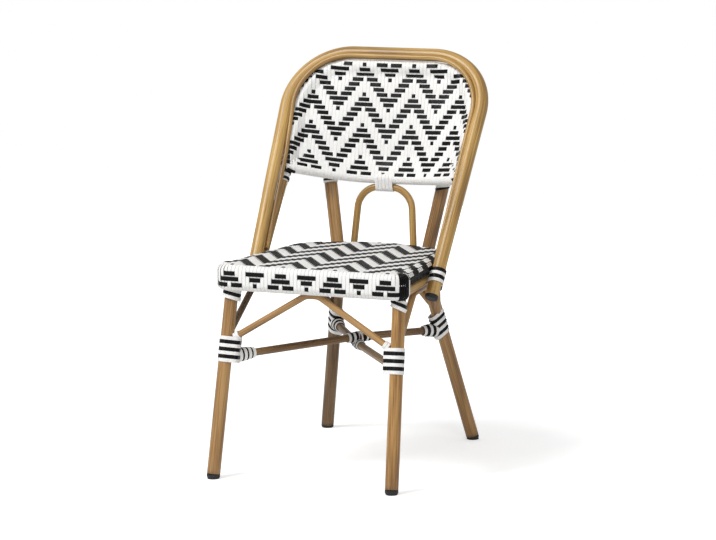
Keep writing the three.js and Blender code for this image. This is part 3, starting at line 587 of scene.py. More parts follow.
def left_rise(across, share):
    """How far the lower edge is drawn up at its left end; across runs from -1 to 1."""
    return LEFT_RISE * np.clip((-across - 0.3) / 0.7, 0, 1.3) ** 1.5 * np.clip(1 - share / 0.5, 0, 1)


def from_glide(stations):
    """A leg's stations from inside its glide up."""
    return [at_height(stations, LEG_START_Z)] + stations[1:]


def closed(stations):
    return stations + [stations[0]]


RAIL = [RAIL_CROWN + (RAIL_END - RAIL_CROWN) * vec(s, s * s, s * s) + vec(0, 0, float(left_rise(s, 0.0)))
        for s in np.linspace(-1, 1, 41)]
TUBES = (
    ("front_leg_left", from_glide(front_axis(-1)), TUBE_R, BROWN),
    ("rear_leg_left", from_glide(rear_stations(-1)), TUBE_R, BROWN),
    # The left side brace gets the darkest palette, partly its dark paint and partly painted shade under the
    # seat.
    ("side_arch_brace_left", side_brace(-1), BRACE_R, UMBER_PAINT_AND_SHADE),
    ("front_leg_right", from_glide(front_axis(1)), TUBE_R, TAWNY),
    ("rear_leg_right", from_glide(rear_stations(1)), TUBE_R, BROWN),
    ("side_arch_brace_right", side_brace(1), BRACE_R, BROWN),
    ("back_hoop", HOOP, TUBE_R, GOLD),
    ("back_panel_frame", PANEL_FRAME, PANEL_TUBE_R, TAN),
    ("hoop_inner_rod", ROD, ROD_R, TAN),
    ("back_panel_bottom_rail", RAIL, PANEL_TUBE_R, TAN),
    ("seat_upper_ring", closed(seat_ring(UPPER_RING_Z)), RING_R, TAN),
    ("seat_lower_ring", closed(seat_ring(LOWER_RING_Z)), RING_R, TAN),
    ("cross_stretcher_lower", LOWER_STRETCHER, STRETCHER_R, DEEP),
    ("cross_stretcher_upper", UPPER_STRETCHER, STRETCHER_R, DEEP),
    ("front_arch_brace", FRONT_BRACE, BRACE_R, BROWN),
    ("rear_arch_brace", REAR_BRACE, BRACE_R, BROWN),
    ("back_arch", ARCH, ARCH_R, TAN),
)
for tube_number, (tube_name, stations, radius, palette) in enumerate(TUBES, 1):
    tube = Mesh()
    add_tube(tube, stations, radius, SIDES[radius])
    paint = bamboo_material(f"bamboo_{tube_name}", palette, SEED_STEP * tube_number,
                            PAINTED_SHADE.get(tube_name, NO_PAINTED_SHADE))
    tube.piece(f"{tube_name}_tube", paint, [tube_name], "bamboo_tube")


# Weave: flat strands laid over and under each other on a face whose edge goes round a tube

PLY = 0.72
WHITE_WIDTH = 8.15
BLACK_WIDTH = 8.4
HALF_PERIOD = 7
FLOAT_SHARE = 0.26
WRAP_STEP = math.radians(13)
WRAP_END = math.radians(200)
LOW_LEAD = 2.7
LEAD_EASE = 6.0
BACK_REACH = 0.9
SQUARE_END = 0.55
PLAN_STEP = 0.5
WRAP_SEARCH = 70


def is_black(row, column):
    """A black float of the chevron twill: rows count downward, columns from an apex column."""
    away = abs((column + HALF_PERIOD) % (2 * HALF_PERIOD) - HALF_PERIOD)
    return (row - away) % 6 in (0, 1, 2)


def add_float(runs, offsets, place, pitch, lift):
    """Two stations of a strand that passes over or under a neighbour at a place."""
    runs += [place - FLOAT_SHARE * pitch, place + FLOAT_SHARE * pitch]
    offsets += [lift, lift]


class Face:
    """A woven face in two plan coordinates. With a lead, the face runs up onto its edge tube."""

    def __init__(self, radius, lead, outline):
        self.radius, self.lead, self.outline = radius, lead, outline
        self.ends = np.roll(outline, -1, axis=0)

    def edge(self, plan):
        """Distance in from the axis of the edge tube, and the way out, both in plan."""
        a, ab = self.outline, self.ends - self.outline
        ap = plan[:, None, :] - a[None]
        share = np.clip((ap * ab[None]).sum(2) / (ab * ab).sum(1)[None], 0, 1)
        away = ap - share[..., None] * ab[None]
        spans = np.linalg.norm(away, axis=2)
        nearest = spans.argmin(1)
        each = np.arange(len(plan))
        distance, away = spans[each, nearest], away[each, nearest]
        x, y = plan[:, 0:1], plan[:, 1:2]
        (ax, ay), (bx, by) = a.T[:, None], self.ends.T[:, None]
        rise = np.where(by == ay, 1, by - ay)
        crossed = ((ay > y) != (by > y)) & (x < (bx - ax) * (y - ay) / rise + ax)
        sign = np.where(crossed.sum(1) % 2 == 1, 1.0, -1.0)
        out = away * (-sign / np.maximum(distance, 1e-6))[:, None]
        return distance * sign, out

    def leads(self, out):
        """How far in the face starts to rise, longer above the lower edge, and where it meets the tube."""
        lead = self.lead + LOW_LEAD * self.radius * np.maximum(0, -out[:, 1]) ** 2
        return lead, self.radius ** 2 / lead

    def lift(self, distance, out):
        round_part = np.sqrt(np.maximum(self.radius ** 2 - distance ** 2, 0))
        if not self.lead:
            return np.where(distance > 0, self.radius, round_part)
        lead, rim = self.leads(out)
        top = np.sqrt(self.radius ** 2 - rim ** 2)
        slope = top * (lead - distance) / (lead - rim)
        return np.where(distance > lead, 0.0, np.where(distance > rim, slope, round_part))

    def axes(self, plan):
        """Unit ways of the two plan axes and of the normal, in space."""
        steps = vec(PLAN_STEP, 0), vec(0, PLAN_STEP)
        way_s, way_v = [units(self.base(plan + step) - self.base(plan - step)) for step in steps]
        return way_s, way_v, units(np.cross(way_s, way_v))

    def turned(self, plan, out, angle):
        """The way a surface faces at an angle out from the crest of the edge tube."""
        way_s, way_v, normal = self.axes(plan)
        outward = way_s * out[:, :1] + way_v * out[:, 1:]
        outward /= np.maximum(np.linalg.norm(outward, axis=1, keepdims=True), 1e-9)
        return normal, normal * np.cos(angle)[:, None] + outward * np.sin(angle)[:, None]

    def surface(self, plan):
        distance, out = self.edge(plan)
        if self.lead:
            lead, rim = self.leads(out)
            tilt = np.clip(distance, -0.999 * self.radius, rim) / self.radius
            tilt *= np.clip((lead + LEAD_EASE - distance) / LEAD_EASE, 0, 1)
        else:
            tilt = np.clip(distance, -0.999 * self.radius, 0) / self.radius
        normal, facing = self.turned(plan, out, -np.arcsin(tilt))
        return self.base(plan) + normal * self.lift(distance, out)[:, None], facing, distance, out

    def wrap(self, curve, last, way):
        """Points, normals and width shares of a strand over the edge tube and back behind it."""
        runs = last + way * np.arange(0, WRAP_SEARCH, PLAN_STEP)
        distance, _ = self.edge(curve(runs))
        order = np.maximum.accumulate(-distance + np.arange(len(runs)) * 1e-6)
        first = math.asin(np.clip(-distance[0] / self.radius, -0.99, 0.99))
        angles = np.arange(first + 0.9 * WRAP_STEP, WRAP_END, WRAP_STEP)
        plan = curve(np.interp(self.radius * np.sin(angles), order, runs))
        _, out = self.edge(plan)
        normal, facing = self.turned(plan, out, angles)
        points = self.base(plan) + normal * (self.radius * np.cos(angles))[:, None] + facing * PLY
        return points, facing, np.ones(len(points))

    def lay(self, mesh, curve, runs, offsets, width, wraps=(True, True), lead_in=None, reach=BACK_REACH):
        """Lays one strand. lead_in holds points, normals and width shares before its first station.

        Ends that do not wrap are tucked under, also those that meet the edge at a slant.
        """
        runs, offsets = np.asarray(runs, float), np.asarray(offsets, float)
        points, facing, distance, out = self.surface(curve(runs))
        keep = np.where(distance > -reach * self.radius)[0]
        if len(keep) < 2:
            return
        keep = slice(keep[0], keep[-1] + 1)
        runs, offsets, points, facing = runs[keep], offsets[keep].copy(), points[keep], facing[keep]
        distance, out = distance[keep], out[keep]
        ways = units(curve(runs[[0, -1]] + vec(-PLAN_STEP, PLAN_STEP)) - curve(runs[[0, -1]]))
        square = [abs(np.dot(way, edge_out)) > SQUARE_END for way, edge_out in zip(ways, out[[0, -1]])]
        for at, end in ((0, 0), (1, -1)):
            if not (wraps[at] and square[at]) and not (at == 0 and lead_in is not None):
                offsets[end] = -PLY
        parts = [(points + facing * offsets[:, None], facing, np.ones(len(points)))]
        if lead_in is not None:
            parts.insert(0, lead_in)
        elif wraps[0] and square[0]:
            parts.insert(0, [rows[::-1] for rows in self.wrap(curve, runs[0], -1)])
        if wraps[1] and square[1]:
            parts.append(self.wrap(curve, runs[-1], 1))
        points, facing, shares = [np.concatenate(rows) for rows in zip(*parts)]
        add_strand(mesh, points, facing, width * shares)


def past(position, half, radius):
    """How far past the crest of the edge tube a place lies, in radii."""
    return (np.abs(position) - half) / radius


def beyond(position, half, radius, most):
    """Where a place past the crest of the edge tube lies, bent down its outer side."""
    over = past(position, half, radius)
    bent_out = np.sign(position) * (half + radius * np.sin(np.clip(over, 0, most)))
    return np.where(over > 0, bent_out, position)


# Woven back

PANEL_SPAN = np.linalg.norm(PANEL_TOP - RAIL_CROWN)
PANEL_XYZ = np.array(PANEL_SIDE)
BACK_WEAVE_R = PANEL_TUBE_R + 1.1
BACK_COLUMNS = range(-26, 27)
BACK_ROWS = range(0, 22)
BACK_CENTRE = -3.3
BACK_PITCH = 8.07
BACK_PITCH_GAIN = 0.2
FIRST_ROW_SHARE = 1.001
ROW_SHARE = 0.0428
ROW_SHARE_GAIN = 0.000165
BACK_ROW_PITCH = 10.9
BACK_MOST_OVER = 1.25
BACK_WHITE_WIDTH = 8.45
BACK_FOOT = 3.0
JUDGED_SHARE = 0.3
OUTER_MARGIN = 3.0
OUTER_TOP_SHARE = 0.62
SLOPED_MARGIN = 24.0
SLOPED_WIDER = 1.16

WIND_PITCH = 8.2
WIND_WIDTH = 7.9
WIND_STATIONS = 20
WIND_SPACING = 3.0
WIND_THICKNESS = 1.0
WIND_LIFT = 0.5
RAIL_WIND_LIFT = 0.6
RAIL_WIND_WIDTH = 8.0
WOUND_FROM_Z = 577.0
FRAME_TIE_HEIGHTS = (584.7, 597.5)
FRAME_TIE_WIDTH = 6.6
SLANTED_TIE_Z = 607.0


def panel_end(share):
    z = RAIL_END[2] + share * (PANEL_TOP[2] - RAIL_END[2])
    return interpolated(z, PANEL_XYZ[:, 2], PANEL_XYZ)


def panel_bow(share):
    """Half width, bow and curvature of the row at a share of the height."""
    inside = np.clip(share, 0, 1)
    end = panel_end(inside)
    bow = end - (RAIL_CROWN + (PANEL_TOP - RAIL_CROWN) * inside[:, None])
    half = end[:, 0]
    return half, bow, np.maximum(2 * np.hypot(bow[:, 1], bow[:, 2]) / half ** 2, 1e-7)


def bow_length(x, curvature):
    bend = curvature * x
    return x / 2 * np.sqrt(1 + bend * bend) + np.arcsinh(bend) / (2 * curvature)


class BackFace(Face):
    """Sheet bowed across; the plan is the length along a row and the height."""

    def base(self, plan):
        share = plan[:, 1] / PANEL_SPAN
        half, bow, curvature = panel_bow(share)
        crown = RAIL_CROWN + (PANEL_TOP - RAIL_CROWN) * share[:, None]
        wanted = np.abs(plan[:, 0])
        x = np.minimum(wanted, half)
        for _ in range(6):
            x = x - (bow_length(x, curvature) - wanted) / np.sqrt(1 + (curvature * x) ** 2)
        inner = np.minimum(x, half)
        u = (inner / half) ** 2 + 2 * inner / half ** 2 * (x - inner)
        z = crown[:, 2] + bow[:, 2] * u + left_rise(np.sign(plan[:, 0]) * x / half, share)
        return np.stack([np.sign(plan[:, 0]) * x, crown[:, 1] + bow[:, 1] * u, z], 1)

    def half_length(self, heights):
        half, _, curvature = panel_bow(np.asarray(heights, float) / PANEL_SPAN)
        return bow_length(half, curvature)


def back_outline():
    share = np.linspace(0, 1, 70)
    half, _, curvature = panel_bow(share)
    right = np.stack([bow_length(half, curvature), share * PANEL_SPAN], 1)
    return np.concatenate([right, right[::-1] * vec(-1, 1)])


def back_row_height(row):
    share = FIRST_ROW_SHARE - ROW_SHARE * row - ROW_SHARE_GAIN * row * row
    return min(PANEL_SPAN * share, PANEL_SPAN - 0.1)


def back_place(column, height):
    return BACK_CENTRE + column * (BACK_PITCH + BACK_PITCH_GAIN * height / PANEL_SPAN)


def back_column(face, column, outer):
    """The plan curve of a column; an outer one bends down the side of the frame."""
    def curve(height):
        run = back_place(column, height)
        if outer:
            run = beyond(run, face.half_length(height), face.radius, BACK_MOST_OVER)
        return np.stack([run, height], 1)

    return curve


def row_curve(place, side=1):
    """The plan curve of a row, which may run towards either side."""
    return lambda run: np.stack([side * run, np.full_like(run, place)], 1)


def wind(mesh, stations, radius, width=WIND_WIDTH):
    """A strand wound round a tube from end to end."""
    points = np.array(resampled(stations, WIND_SPACING))
    run = lengths(points)
    at = np.linspace(0, run[-1], int(run[-1] / WIND_PITCH * WIND_STATIONS))
    axis = interpolated(at, run, points)
    ways = tangents(axis)
    first = units(np.cross(ways, vec(0, 1, 0)))
    second = np.cross(ways, first)
    angle = at / WIND_PITCH * 2 * math.pi
    facing = first * np.cos(angle)[:, None] + second * np.sin(angle)[:, None]
    add_strand(mesh, axis + facing * radius, facing, width, thickness=WIND_THICKNESS)


def tie_frame(black):
    """Black turns round the lower ends of the frame tube, the highest one slanted across the view."""
    for side in (1, -1):
        frame_end = [on_side(side, p) for p in PANEL_SIDE[:2]]
        circles = [(0, 0, PANEL_TUBE_R + 2.0), (9, 0, PANEL_TUBE_R + 1.5)]
        add_turn(black, at_height(frame_end, SLANTED_TIE_Z), unit(UP - 0.5 * side * VIEW_RIGHT),
                 vec(-side, 0, 0), circles, width=FRAME_TIE_WIDTH)
        for z in FRAME_TIE_HEIGHTS:
            add_turn(black, at_height(frame_end, z), unit(frame_end[1] - frame_end[0]), vec(1, 0, 0),
                     [(0, 0, PANEL_TUBE_R + 0.9)], width=FRAME_TIE_WIDTH)


def lay_back_columns(white, face):
    judged_at = JUDGED_SHARE * PANEL_SPAN
    for column in BACK_COLUMNS:
        inside = face.half_length([judged_at])[0] - abs(back_place(column, judged_at))
        outer = inside < OUTER_MARGIN
        runs, offsets = [BACK_FOOT], [PLY]
        for row in reversed(BACK_ROWS):
            height = back_row_height(row)
            over = past(back_place(column, height), face.half_length([height]), face.radius)[0]
            if outer and (height > OUTER_TOP_SHARE * PANEL_SPAN or over > BACK_MOST_OVER):
                continue
            lift = -PLY if is_black(row, column + HALF_PERIOD) else PLY
            add_float(runs, offsets, height, BACK_ROW_PITCH, lift)
        width = BACK_WHITE_WIDTH * (SLOPED_WIDER if inside < SLOPED_MARGIN else 1)
        face.lay(white, back_column(face, column, outer), runs, offsets, width, (not outer, not outer))


def lay_back_rows(black, face):
    for row in BACK_ROWS:
        height = back_row_height(row)
        half = face.half_length([height])
        runs, offsets = [], []
        for column in BACK_COLUMNS:
            lift = PLY if is_black(row, column + HALF_PERIOD) else -PLY
            for part in (-FLOAT_SHARE, FLOAT_SHARE):
                place = back_place(column + part, height)
                if past(place, half, face.radius)[0] < BACK_MOST_OVER:
                    runs.append(beyond(place, half, face.radius, BACK_MOST_OVER)[0])
                    offsets.append(lift)
        face.lay(black, row_curve(height), runs, offsets, BLACK_WIDTH)


def build_back():
    face = BackFace(BACK_WEAVE_R, 2 * BACK_WEAVE_R, back_outline())
    white, black = Mesh(), Mesh()
    wound_end = at_height(PANEL_SIDE, WOUND_FROM_Z)
    wind(white, [wound_end] + PANEL_FRAME[1:-1] + [on_side(-1, wound_end)], PANEL_TUBE_R + WIND_LIFT)
    wind(white, RAIL, PANEL_TUBE_R + RAIL_WIND_LIFT, RAIL_WIND_WIDTH)
    tie_frame(black)
    lay_back_columns(white, face)
    lay_back_rows(black, face)
    return white, black


# Woven seat

SEAT_WEAVE_R = RING_R + 1.6
SEAT_XY = np.array([p[:2] for p in seat_ring(0)])
SEAT_CENTRE = -4.8
SEAT_PITCH = 8.22
SEAT_ROW_PITCH = 12.1
SEAT_FIRST_ROW = -228.0
SEAT_ROWS = range(0, 34)
SEAT_COLUMNS = range(-25, 27)
SEAT_REACH = 0.98
SIDE_END_Y = 60.0
WOUND_FROM_Y = 20.0

# The front corners of the upper ring, and the band that goes round them

BAND_CENTRE = -3.2
BAND_PITCH = 8.255
BAND_COLUMNS = range(-27, 25)
BAND_ROWS = ((1, 428.0), (2, 416.5), (3, 404.0))
BAND_BLACK_WIDTH = 9.2
BAND_ANGLE_STEP = 15
BAND_OUT_R = FRONT_CORNER_R + SEAT_WEAVE_R
CORNER_TURN = math.pi / 2 + math.atan(TAPER)
CORNER_X = seat_half(-SEAT_FRONT) - FRONT_CORNER_R * math.tan(CORNER_TURN / 2)
CORNER_Y = FRONT_CORNER_R - SEAT_FRONT
LEFT_BULGE = 6.0

# Loops at the corners: how far they run in and down on top, and the place and swell of the black cores

WHITE_LOOPS = (-30, 28)
BLACK_LOOPS = (-29, -28, 25, 26, 27)
BLACK_CORES = ((-0.36, 1.4), (-0.12, 0.5), (0.12, 1.9), (0.36, 0.9))
CORE_WIDTH = 2.0
LOOP_END = ((9, 0.3), (17, 3.2))

# Columns on the sides of the ring, at angles from its crest, and how the others end beside them

EDGE_COLUMNS = {-25: 1.15, -24: 0.44, -23: -0.27, 24: -0.39, 25: 0.32, 26: 1.03}
EDGE_PITCH = 5.6
COLUMN_EASE = 26.0
COLUMN_MARGIN = 4.0
ROW_MARGIN = 4.0
TUCK_FROM_Y = CORNER_Y + 30
TUCK_MARGIN = 5.0
ROWS_WRAP_TO_Y = SIDE_END_Y + 40
FILLED_TO_Y = SIDE_END_Y + 20
FILL_RUNS = vec(-16, -9, -2, 4)
FILL_WIDTH = BLACK_WIDTH * 0.6


class SeatFace(Face):
    """The flat top of the seat; the plan is x and y."""

    def base(self, plan):
        return np.stack([plan[:, 0], plan[:, 1], np.full(len(plan), UPPER_RING_Z)], 1)


def band_place(number):
    return BAND_CENTRE + number * BAND_PITCH


def seat_half_at(y):
    return seat_half(np.maximum(y, CORNER_Y))


def column_x(number, y):
    """Where a column of the seat lies; the outermost ones follow the side of the ring."""
    side = math.copysign(1, number)
    if number in EDGE_COLUMNS:
        return side * (seat_half_at(y) + SEAT_WEAVE_R * math.sin(EDGE_COLUMNS[number]))
    return SEAT_CENTRE + number * SEAT_PITCH + 0 * y


def is_tucked(number, y):
    """Whether a straight column has run in under the edge columns."""
    if number in EDGE_COLUMNS or number == 0 or y <= TUCK_FROM_Y:
        return False
    inner = min((n for n in EDGE_COLUMNS if n * number > 0), key=abs)
    return abs(column_x(number, y)) > abs(column_x(inner, y)) - TUCK_MARGIN


def ring_front(place):
    """Axis point of the ring and the way out of it, at a length along the front band."""
    over = (abs(place) - CORNER_X) / BAND_OUT_R
    side = math.copysign(1, place)
    if over <= 0:
        return vec(place, -SEAT_FRONT, 0), vec(0, -1, 0)
    turn = min(over, CORNER_TURN)
    out = vec(side * math.sin(turn), -math.cos(turn), 0)
    bulge = LEFT_BULGE * float(smooth(over / CORNER_TURN)) if side < 0 else 0.0
    axis = vec(side * CORNER_X, CORNER_Y, 0) + (FRONT_CORNER_R + bulge) * out
    along = vec(-side * math.cos(turn - math.pi), -math.sin(turn - math.pi), 0)
    return axis + along * (over - turn) * BAND_OUT_R, out


def band_path(number, last_angle, loop=False):
    """A column from inside the rings, under the lower one, up the front and onto the upper one."""
    axis, out = ring_front(band_place(number))
    points, facing, shares = [], [], []
    squeeze = FRONT_CORNER_R / BAND_OUT_R if abs(band_place(number)) > CORNER_X + 2 else 1.0
    inner_share = max(squeeze - 0.2, 0.45)

    def add(degrees, z, offset=PLY, share=1.0):
        angle = math.radians(degrees)
        way = out * math.sin(angle) + UP * math.cos(angle)
        points.append(axis + UP * z + way * SEAT_WEAVE_R + way * offset)
        facing.append(way)
        shares.append(share)

    for z in (UPPER_RING_Z, LOWER_RING_Z):
        add(270, z, share=inner_share)
    for degrees in range(255, 90, -BAND_ANGLE_STEP):
        add(degrees, LOWER_RING_Z, share=1.0 if degrees < 180 else inner_share + 0.1)
    for row, z in reversed(BAND_ROWS):
        lift = -PLY if not loop and is_black(row, number - HALF_PERIOD) else PLY
        for part in (-FLOAT_SHARE, FLOAT_SHARE):
            add(90, z + part * SEAT_ROW_PITCH, offset=lift)
    for degrees in range(75, last_angle - 1, -BAND_ANGLE_STEP):
        add(degrees, UPPER_RING_Z, share=1 - (1 - squeeze) * (90 - degrees) / 90)
    return points, facing, shares


def add_loop(mesh, number, loop, width=WHITE_WIDTH, swell=0.0, ridges=TURN_RIDGES):
    """A column of the band that ends on top of the ring at the corner."""
    points, facing, shares = band_path(number, 0, loop)
    axis, out = ring_front(band_place(number))
    for inward, drop in LOOP_END:
        points.append(axis - out * inward + UP * (UPPER_RING_Z + SEAT_WEAVE_R + PLY - drop))
        facing.append(UP)
        shares.append(shares[-1])
    points, facing = np.array(points), np.array(facing)
    rise = np.sin(np.linspace(0, math.pi, len(points)))[:, None]
    add_strand(mesh, points + facing * swell * rise, facing, width * np.array(shares), ridges)


def seat_column(number, axis, from_band):
    """The plan curve of a column, which starts where the band puts it and eases into its own line."""
    def curve(y):
        share = smooth((y - axis[1]) / COLUMN_EASE) if from_band else 1.0
        return np.stack([column_x(number, y) * share + axis[0] * (1 - share), y], 1)

    return curve


def seat_row_y(count):
    return SEAT_FIRST_ROW + count * SEAT_ROW_PITCH


def lay_seat_columns(white, face):
    for number in SEAT_COLUMNS:
        axis, _ = ring_front(band_place(number))
        edge = number in EDGE_COLUMNS
        from_band = number in BAND_COLUMNS
        start_y = (axis[1] if from_band else CORNER_Y + COLUMN_MARGIN) + COLUMN_MARGIN
        runs, offsets = [], []
        for count in SEAT_ROWS:
            y = seat_row_y(count)
            if y < start_y or edge and y > SIDE_END_Y:
                continue
            if is_tucked(number, y):
                break
            lift = -PLY if is_black(-count, number - HALF_PERIOD) else PLY
            add_float(runs, offsets, y, SEAT_ROW_PITCH, lift)
        if runs:
            lead_in = band_path(number, BAND_ANGLE_STEP) if from_band else None
            face.lay(white, seat_column(number, axis, from_band), runs, offsets, WHITE_WIDTH,
                     (False, not edge), lead_in, SEAT_REACH)


def lay_band(white, black):
    """The corner loops and the black rows of the front band."""
    for number in range(BAND_COLUMNS[0], SEAT_COLUMNS[0]):
        add_loop(white, number, False)
    for number in WHITE_LOOPS:
        add_loop(white, number, True)
    for number in BLACK_LOOPS:
        for core, swell in BLACK_CORES:
            add_loop(black, number + core, True, CORE_WIDTH, swell, 1)
    for row, z in BAND_ROWS:
        points, facing = [], []
        for number in range(BAND_COLUMNS[0] - 2, BAND_COLUMNS[-1] + 3):
            on_top = number in BAND_COLUMNS and is_black(row, number - HALF_PERIOD)
            for part in (-FLOAT_SHARE, FLOAT_SHARE):
                axis, out = ring_front(band_place(number + part))
                points.append(axis + out * (SEAT_WEAVE_R + (PLY if on_top else -PLY)) + UP * z)
                facing.append(out)
        add_strand(black, points, facing, BAND_BLACK_WIDTH)


def lay_seat_rows(black, face):
    for count in SEAT_ROWS:
        y = seat_row_y(count)
        wrapped = CORNER_Y - 2 < y < ROWS_WRAP_TO_Y
        runs, offsets = [], []
        for number in SEAT_COLUMNS:
            edge = number in EDGE_COLUMNS
            if is_tucked(number, y) or edge and not wrapped:
                continue
            if not wrapped and abs(column_x(number, y)) > seat_half_at(y) - ROW_MARGIN:
                continue
            lift = PLY if is_black(-count, number - HALF_PERIOD) else -PLY
            add_float(runs, offsets, float(column_x(number, y)), EDGE_PITCH if edge else SEAT_PITCH, lift)
        face.lay(black, row_curve(y), runs, offsets, BLACK_WIDTH, (wrapped, wrapped), reach=SEAT_REACH)
        between = y + SEAT_ROW_PITCH / 2
        if CORNER_Y < between < FILLED_TO_Y:
            for side in (-1, 1):
                face.lay(black, row_curve(between, side), seat_half_at(between) + FILL_RUNS, [-PLY] * 4,
                         FILL_WIDTH, (False, True), reach=SEAT_REACH)


def build_seat():
    face = SeatFace(SEAT_WEAVE_R, 0, SEAT_XY)
    white, black = Mesh(), Mesh()
    lay_seat_columns(white, face)
    wind(white, [p for p in seat_ring(UPPER_RING_Z) if p[1] > WOUND_FROM_Y], RING_R + WIND_LIFT)
    lay_band(white, black)
    lay_seat_rows(black, face)
    return white, black


# Bindings: strands wound round the tubes where they meet. Circles are given as (x, y, radius).

STRAND_TURN = 7.7
BIND_LIFT = 1.0
TIE_WIDTH = 6.4
HULL_SIDES = 48
TURN_STATIONS = 64

FRONT_BIND_Z = 266.0
REAR_BIND_Z = {-1: 263.0, 1: 271.0}
REAR_BIND_SLANT = {-1: 0.3, 1: -0.45}
REAR_BIND_CIRCLES = {side: [(0, 0, TUBE_R), (11, 5 * side, 9.5), (4, 12 * side, 8.5)] for side in (-1, 1)}
BOUND_BRACE_IN = 21
BOUND_STRETCHER_IN = 25
LEG_TURNS = 7
FRONT_TIE_PLACES = (6.0, 12.5)
LEG_TOP_HEIGHTS = (372.0, 380.0, 386.5)
LEG_TOP_SLANT = {-1: 0.2, 1: 0.42}
LEG_TOP_CIRCLES = {-1: [(0, 0, TUBE_R + 3), (4, 0, TUBE_R + 1)], 1: [(0, 0, TUBE_R + 1), (3, 0, TUBE_R)]}
HOOP_BIND_Z = 424.0
HOOP_BIND_PITCH = 6.6

# Stubs: where the first turn starts, the radius of each turn, and the widths of white and black turns

FRONT_STUB = (27.0, (14.6, 14.4, 13.8, 13.2, 12.2, 11.4, 10.2), (8.0, 3.6))
REAR_STUB = (17.0, (14.0, 13.6, 13.0, 12.0, 10.4), (6.9, 6.9))
CROSSING_START = 10.0
CROSSING_PITCH = 5.8
CROSSING_LIFT = 1.6
CROSSING_FALL = 0.4
CROSSING_WIDTH = 6.2
CROSSING_WRAP_WIDTH = 6.0
CROSSING_WRAP_PLACE = 3.4

# Height, width, whether white, and slant of each turn of a boot, for each side of the back

UPPER_BOOT = ((581.5, 7.7, True, 0.0), (589.0, 7.7, True, 0.0), (595.0, 5.0, True, 0.0))
BOOT_TURNS = {-1: ((571.0, 4.2, True, 0.0), (575.6, 3.4, False, 0.0), *UPPER_BOOT),
              1: ((568.0, 5.0, False, -0.4), (574.0, 7.0, True, -0.3), *UPPER_BOOT)}
COLLAR_OFFSET = 2.5
COLLAR_PITCH = 8.1
COLLAR_WIDTH = 8.0


def chain(points):
    """One half of the hull of points that are sorted by x and y."""
    out = []
    for p in points:
        while len(out) > 1:
            a, b = out[-1] - out[-2], p - out[-2]
            if a[0] * b[1] - a[1] * b[0] > 1e-9:
                break
            out.pop()
        out.append(p)
    return out[:-1]


def hull_loop(circles, grow):
    """Closed outline round circles, with its outward normals."""
    turns = np.arange(HULL_SIDES) * 2 * math.pi / HULL_SIDES
    cloud = np.concatenate([
        np.stack([x + (r + grow) * np.cos(turns), y + (r + grow) * np.sin(turns)], 1)
        for x, y, r in circles])
    ordered = cloud[np.lexsort((cloud[:, 1], cloud[:, 0]))]
    corners = np.array(chain(ordered) + chain(ordered[::-1]))
    ring = np.concatenate([corners, corners[:1]])
    run = lengths(ring)
    at = np.linspace(0, run[-1], TURN_STATIONS, endpoint=False)
    loop = interpolated(at, run, ring)
    for _ in range(2):
        loop = (np.roll(loop, 1, axis=0) + 2 * loop + np.roll(loop, -1, axis=0)) / 4
    way = np.roll(loop, -1, axis=0) - np.roll(loop, 1, axis=0)
    return loop, units(np.stack([way[:, 1], -way[:, 0]], 1))


def add_turn(mesh, centre, up, side, circles, width=STRAND_TURN, grow=BIND_LIFT):
    """One closed turn of strand in the plane across up; side is the plane's first way."""
    side = unit(side - up * np.dot(side, up))
    other = np.cross(up, side)
    loop, normal = hull_loop(circles, grow)
    points = centre + loop[:, :1] * side + loop[:, 1:] * other
    facing = normal[:, :1] * side + normal[:, 1:] * other
    again = np.arange(len(points) + 2) % len(points)
    add_strand(mesh, points[again], facing[again], width, TURN_RIDGES)


class Binding:
    """The white and the black strands of one binding."""

    def __init__(self, name):
        self.name, self.white, self.black = name, Mesh(), Mesh()

    def turn(self, is_white, *place, **more):
        add_turn(self.white if is_white else self.black, *place, **more)

    def done(self):
        for word, mesh, material in zip(STRAND_WORDS, (self.white, self.black), STRANDS):
            node = f"{self.name}_binding_{word}"
            mesh.piece(f"{node}_turns", material, [node], f"{word}_strand")


def bind_leg(binding, leg, centre_z, across, circles, inward):
    """Turns round a leg and what is bound to it, white first and last."""
    up = unit(leg[1] - leg[0])
    centre = at_height(leg, centre_z)
    for k in range(LEG_TURNS):
        offset = ((LEG_TURNS - 1) / 2 - k) * STRAND_TURN
        binding.turn(k % 2 == 0, centre + up * offset, across, inward, circles)


def bind_stub(name, start, way, stub):
    """Turns round the end of a stretcher beside a leg, piled up towards the leg."""
    place, radii, widths = stub
    binding = Binding(f"{name}_stretcher")
    for k, radius in enumerate(radii):
        width = widths[k % 2]
        binding.turn(k % 2 == 0, start + way * (place + width / 2), way, UP, [(0, 0, radius)],
                     width=width, grow=0)
        place += width
    binding.done()


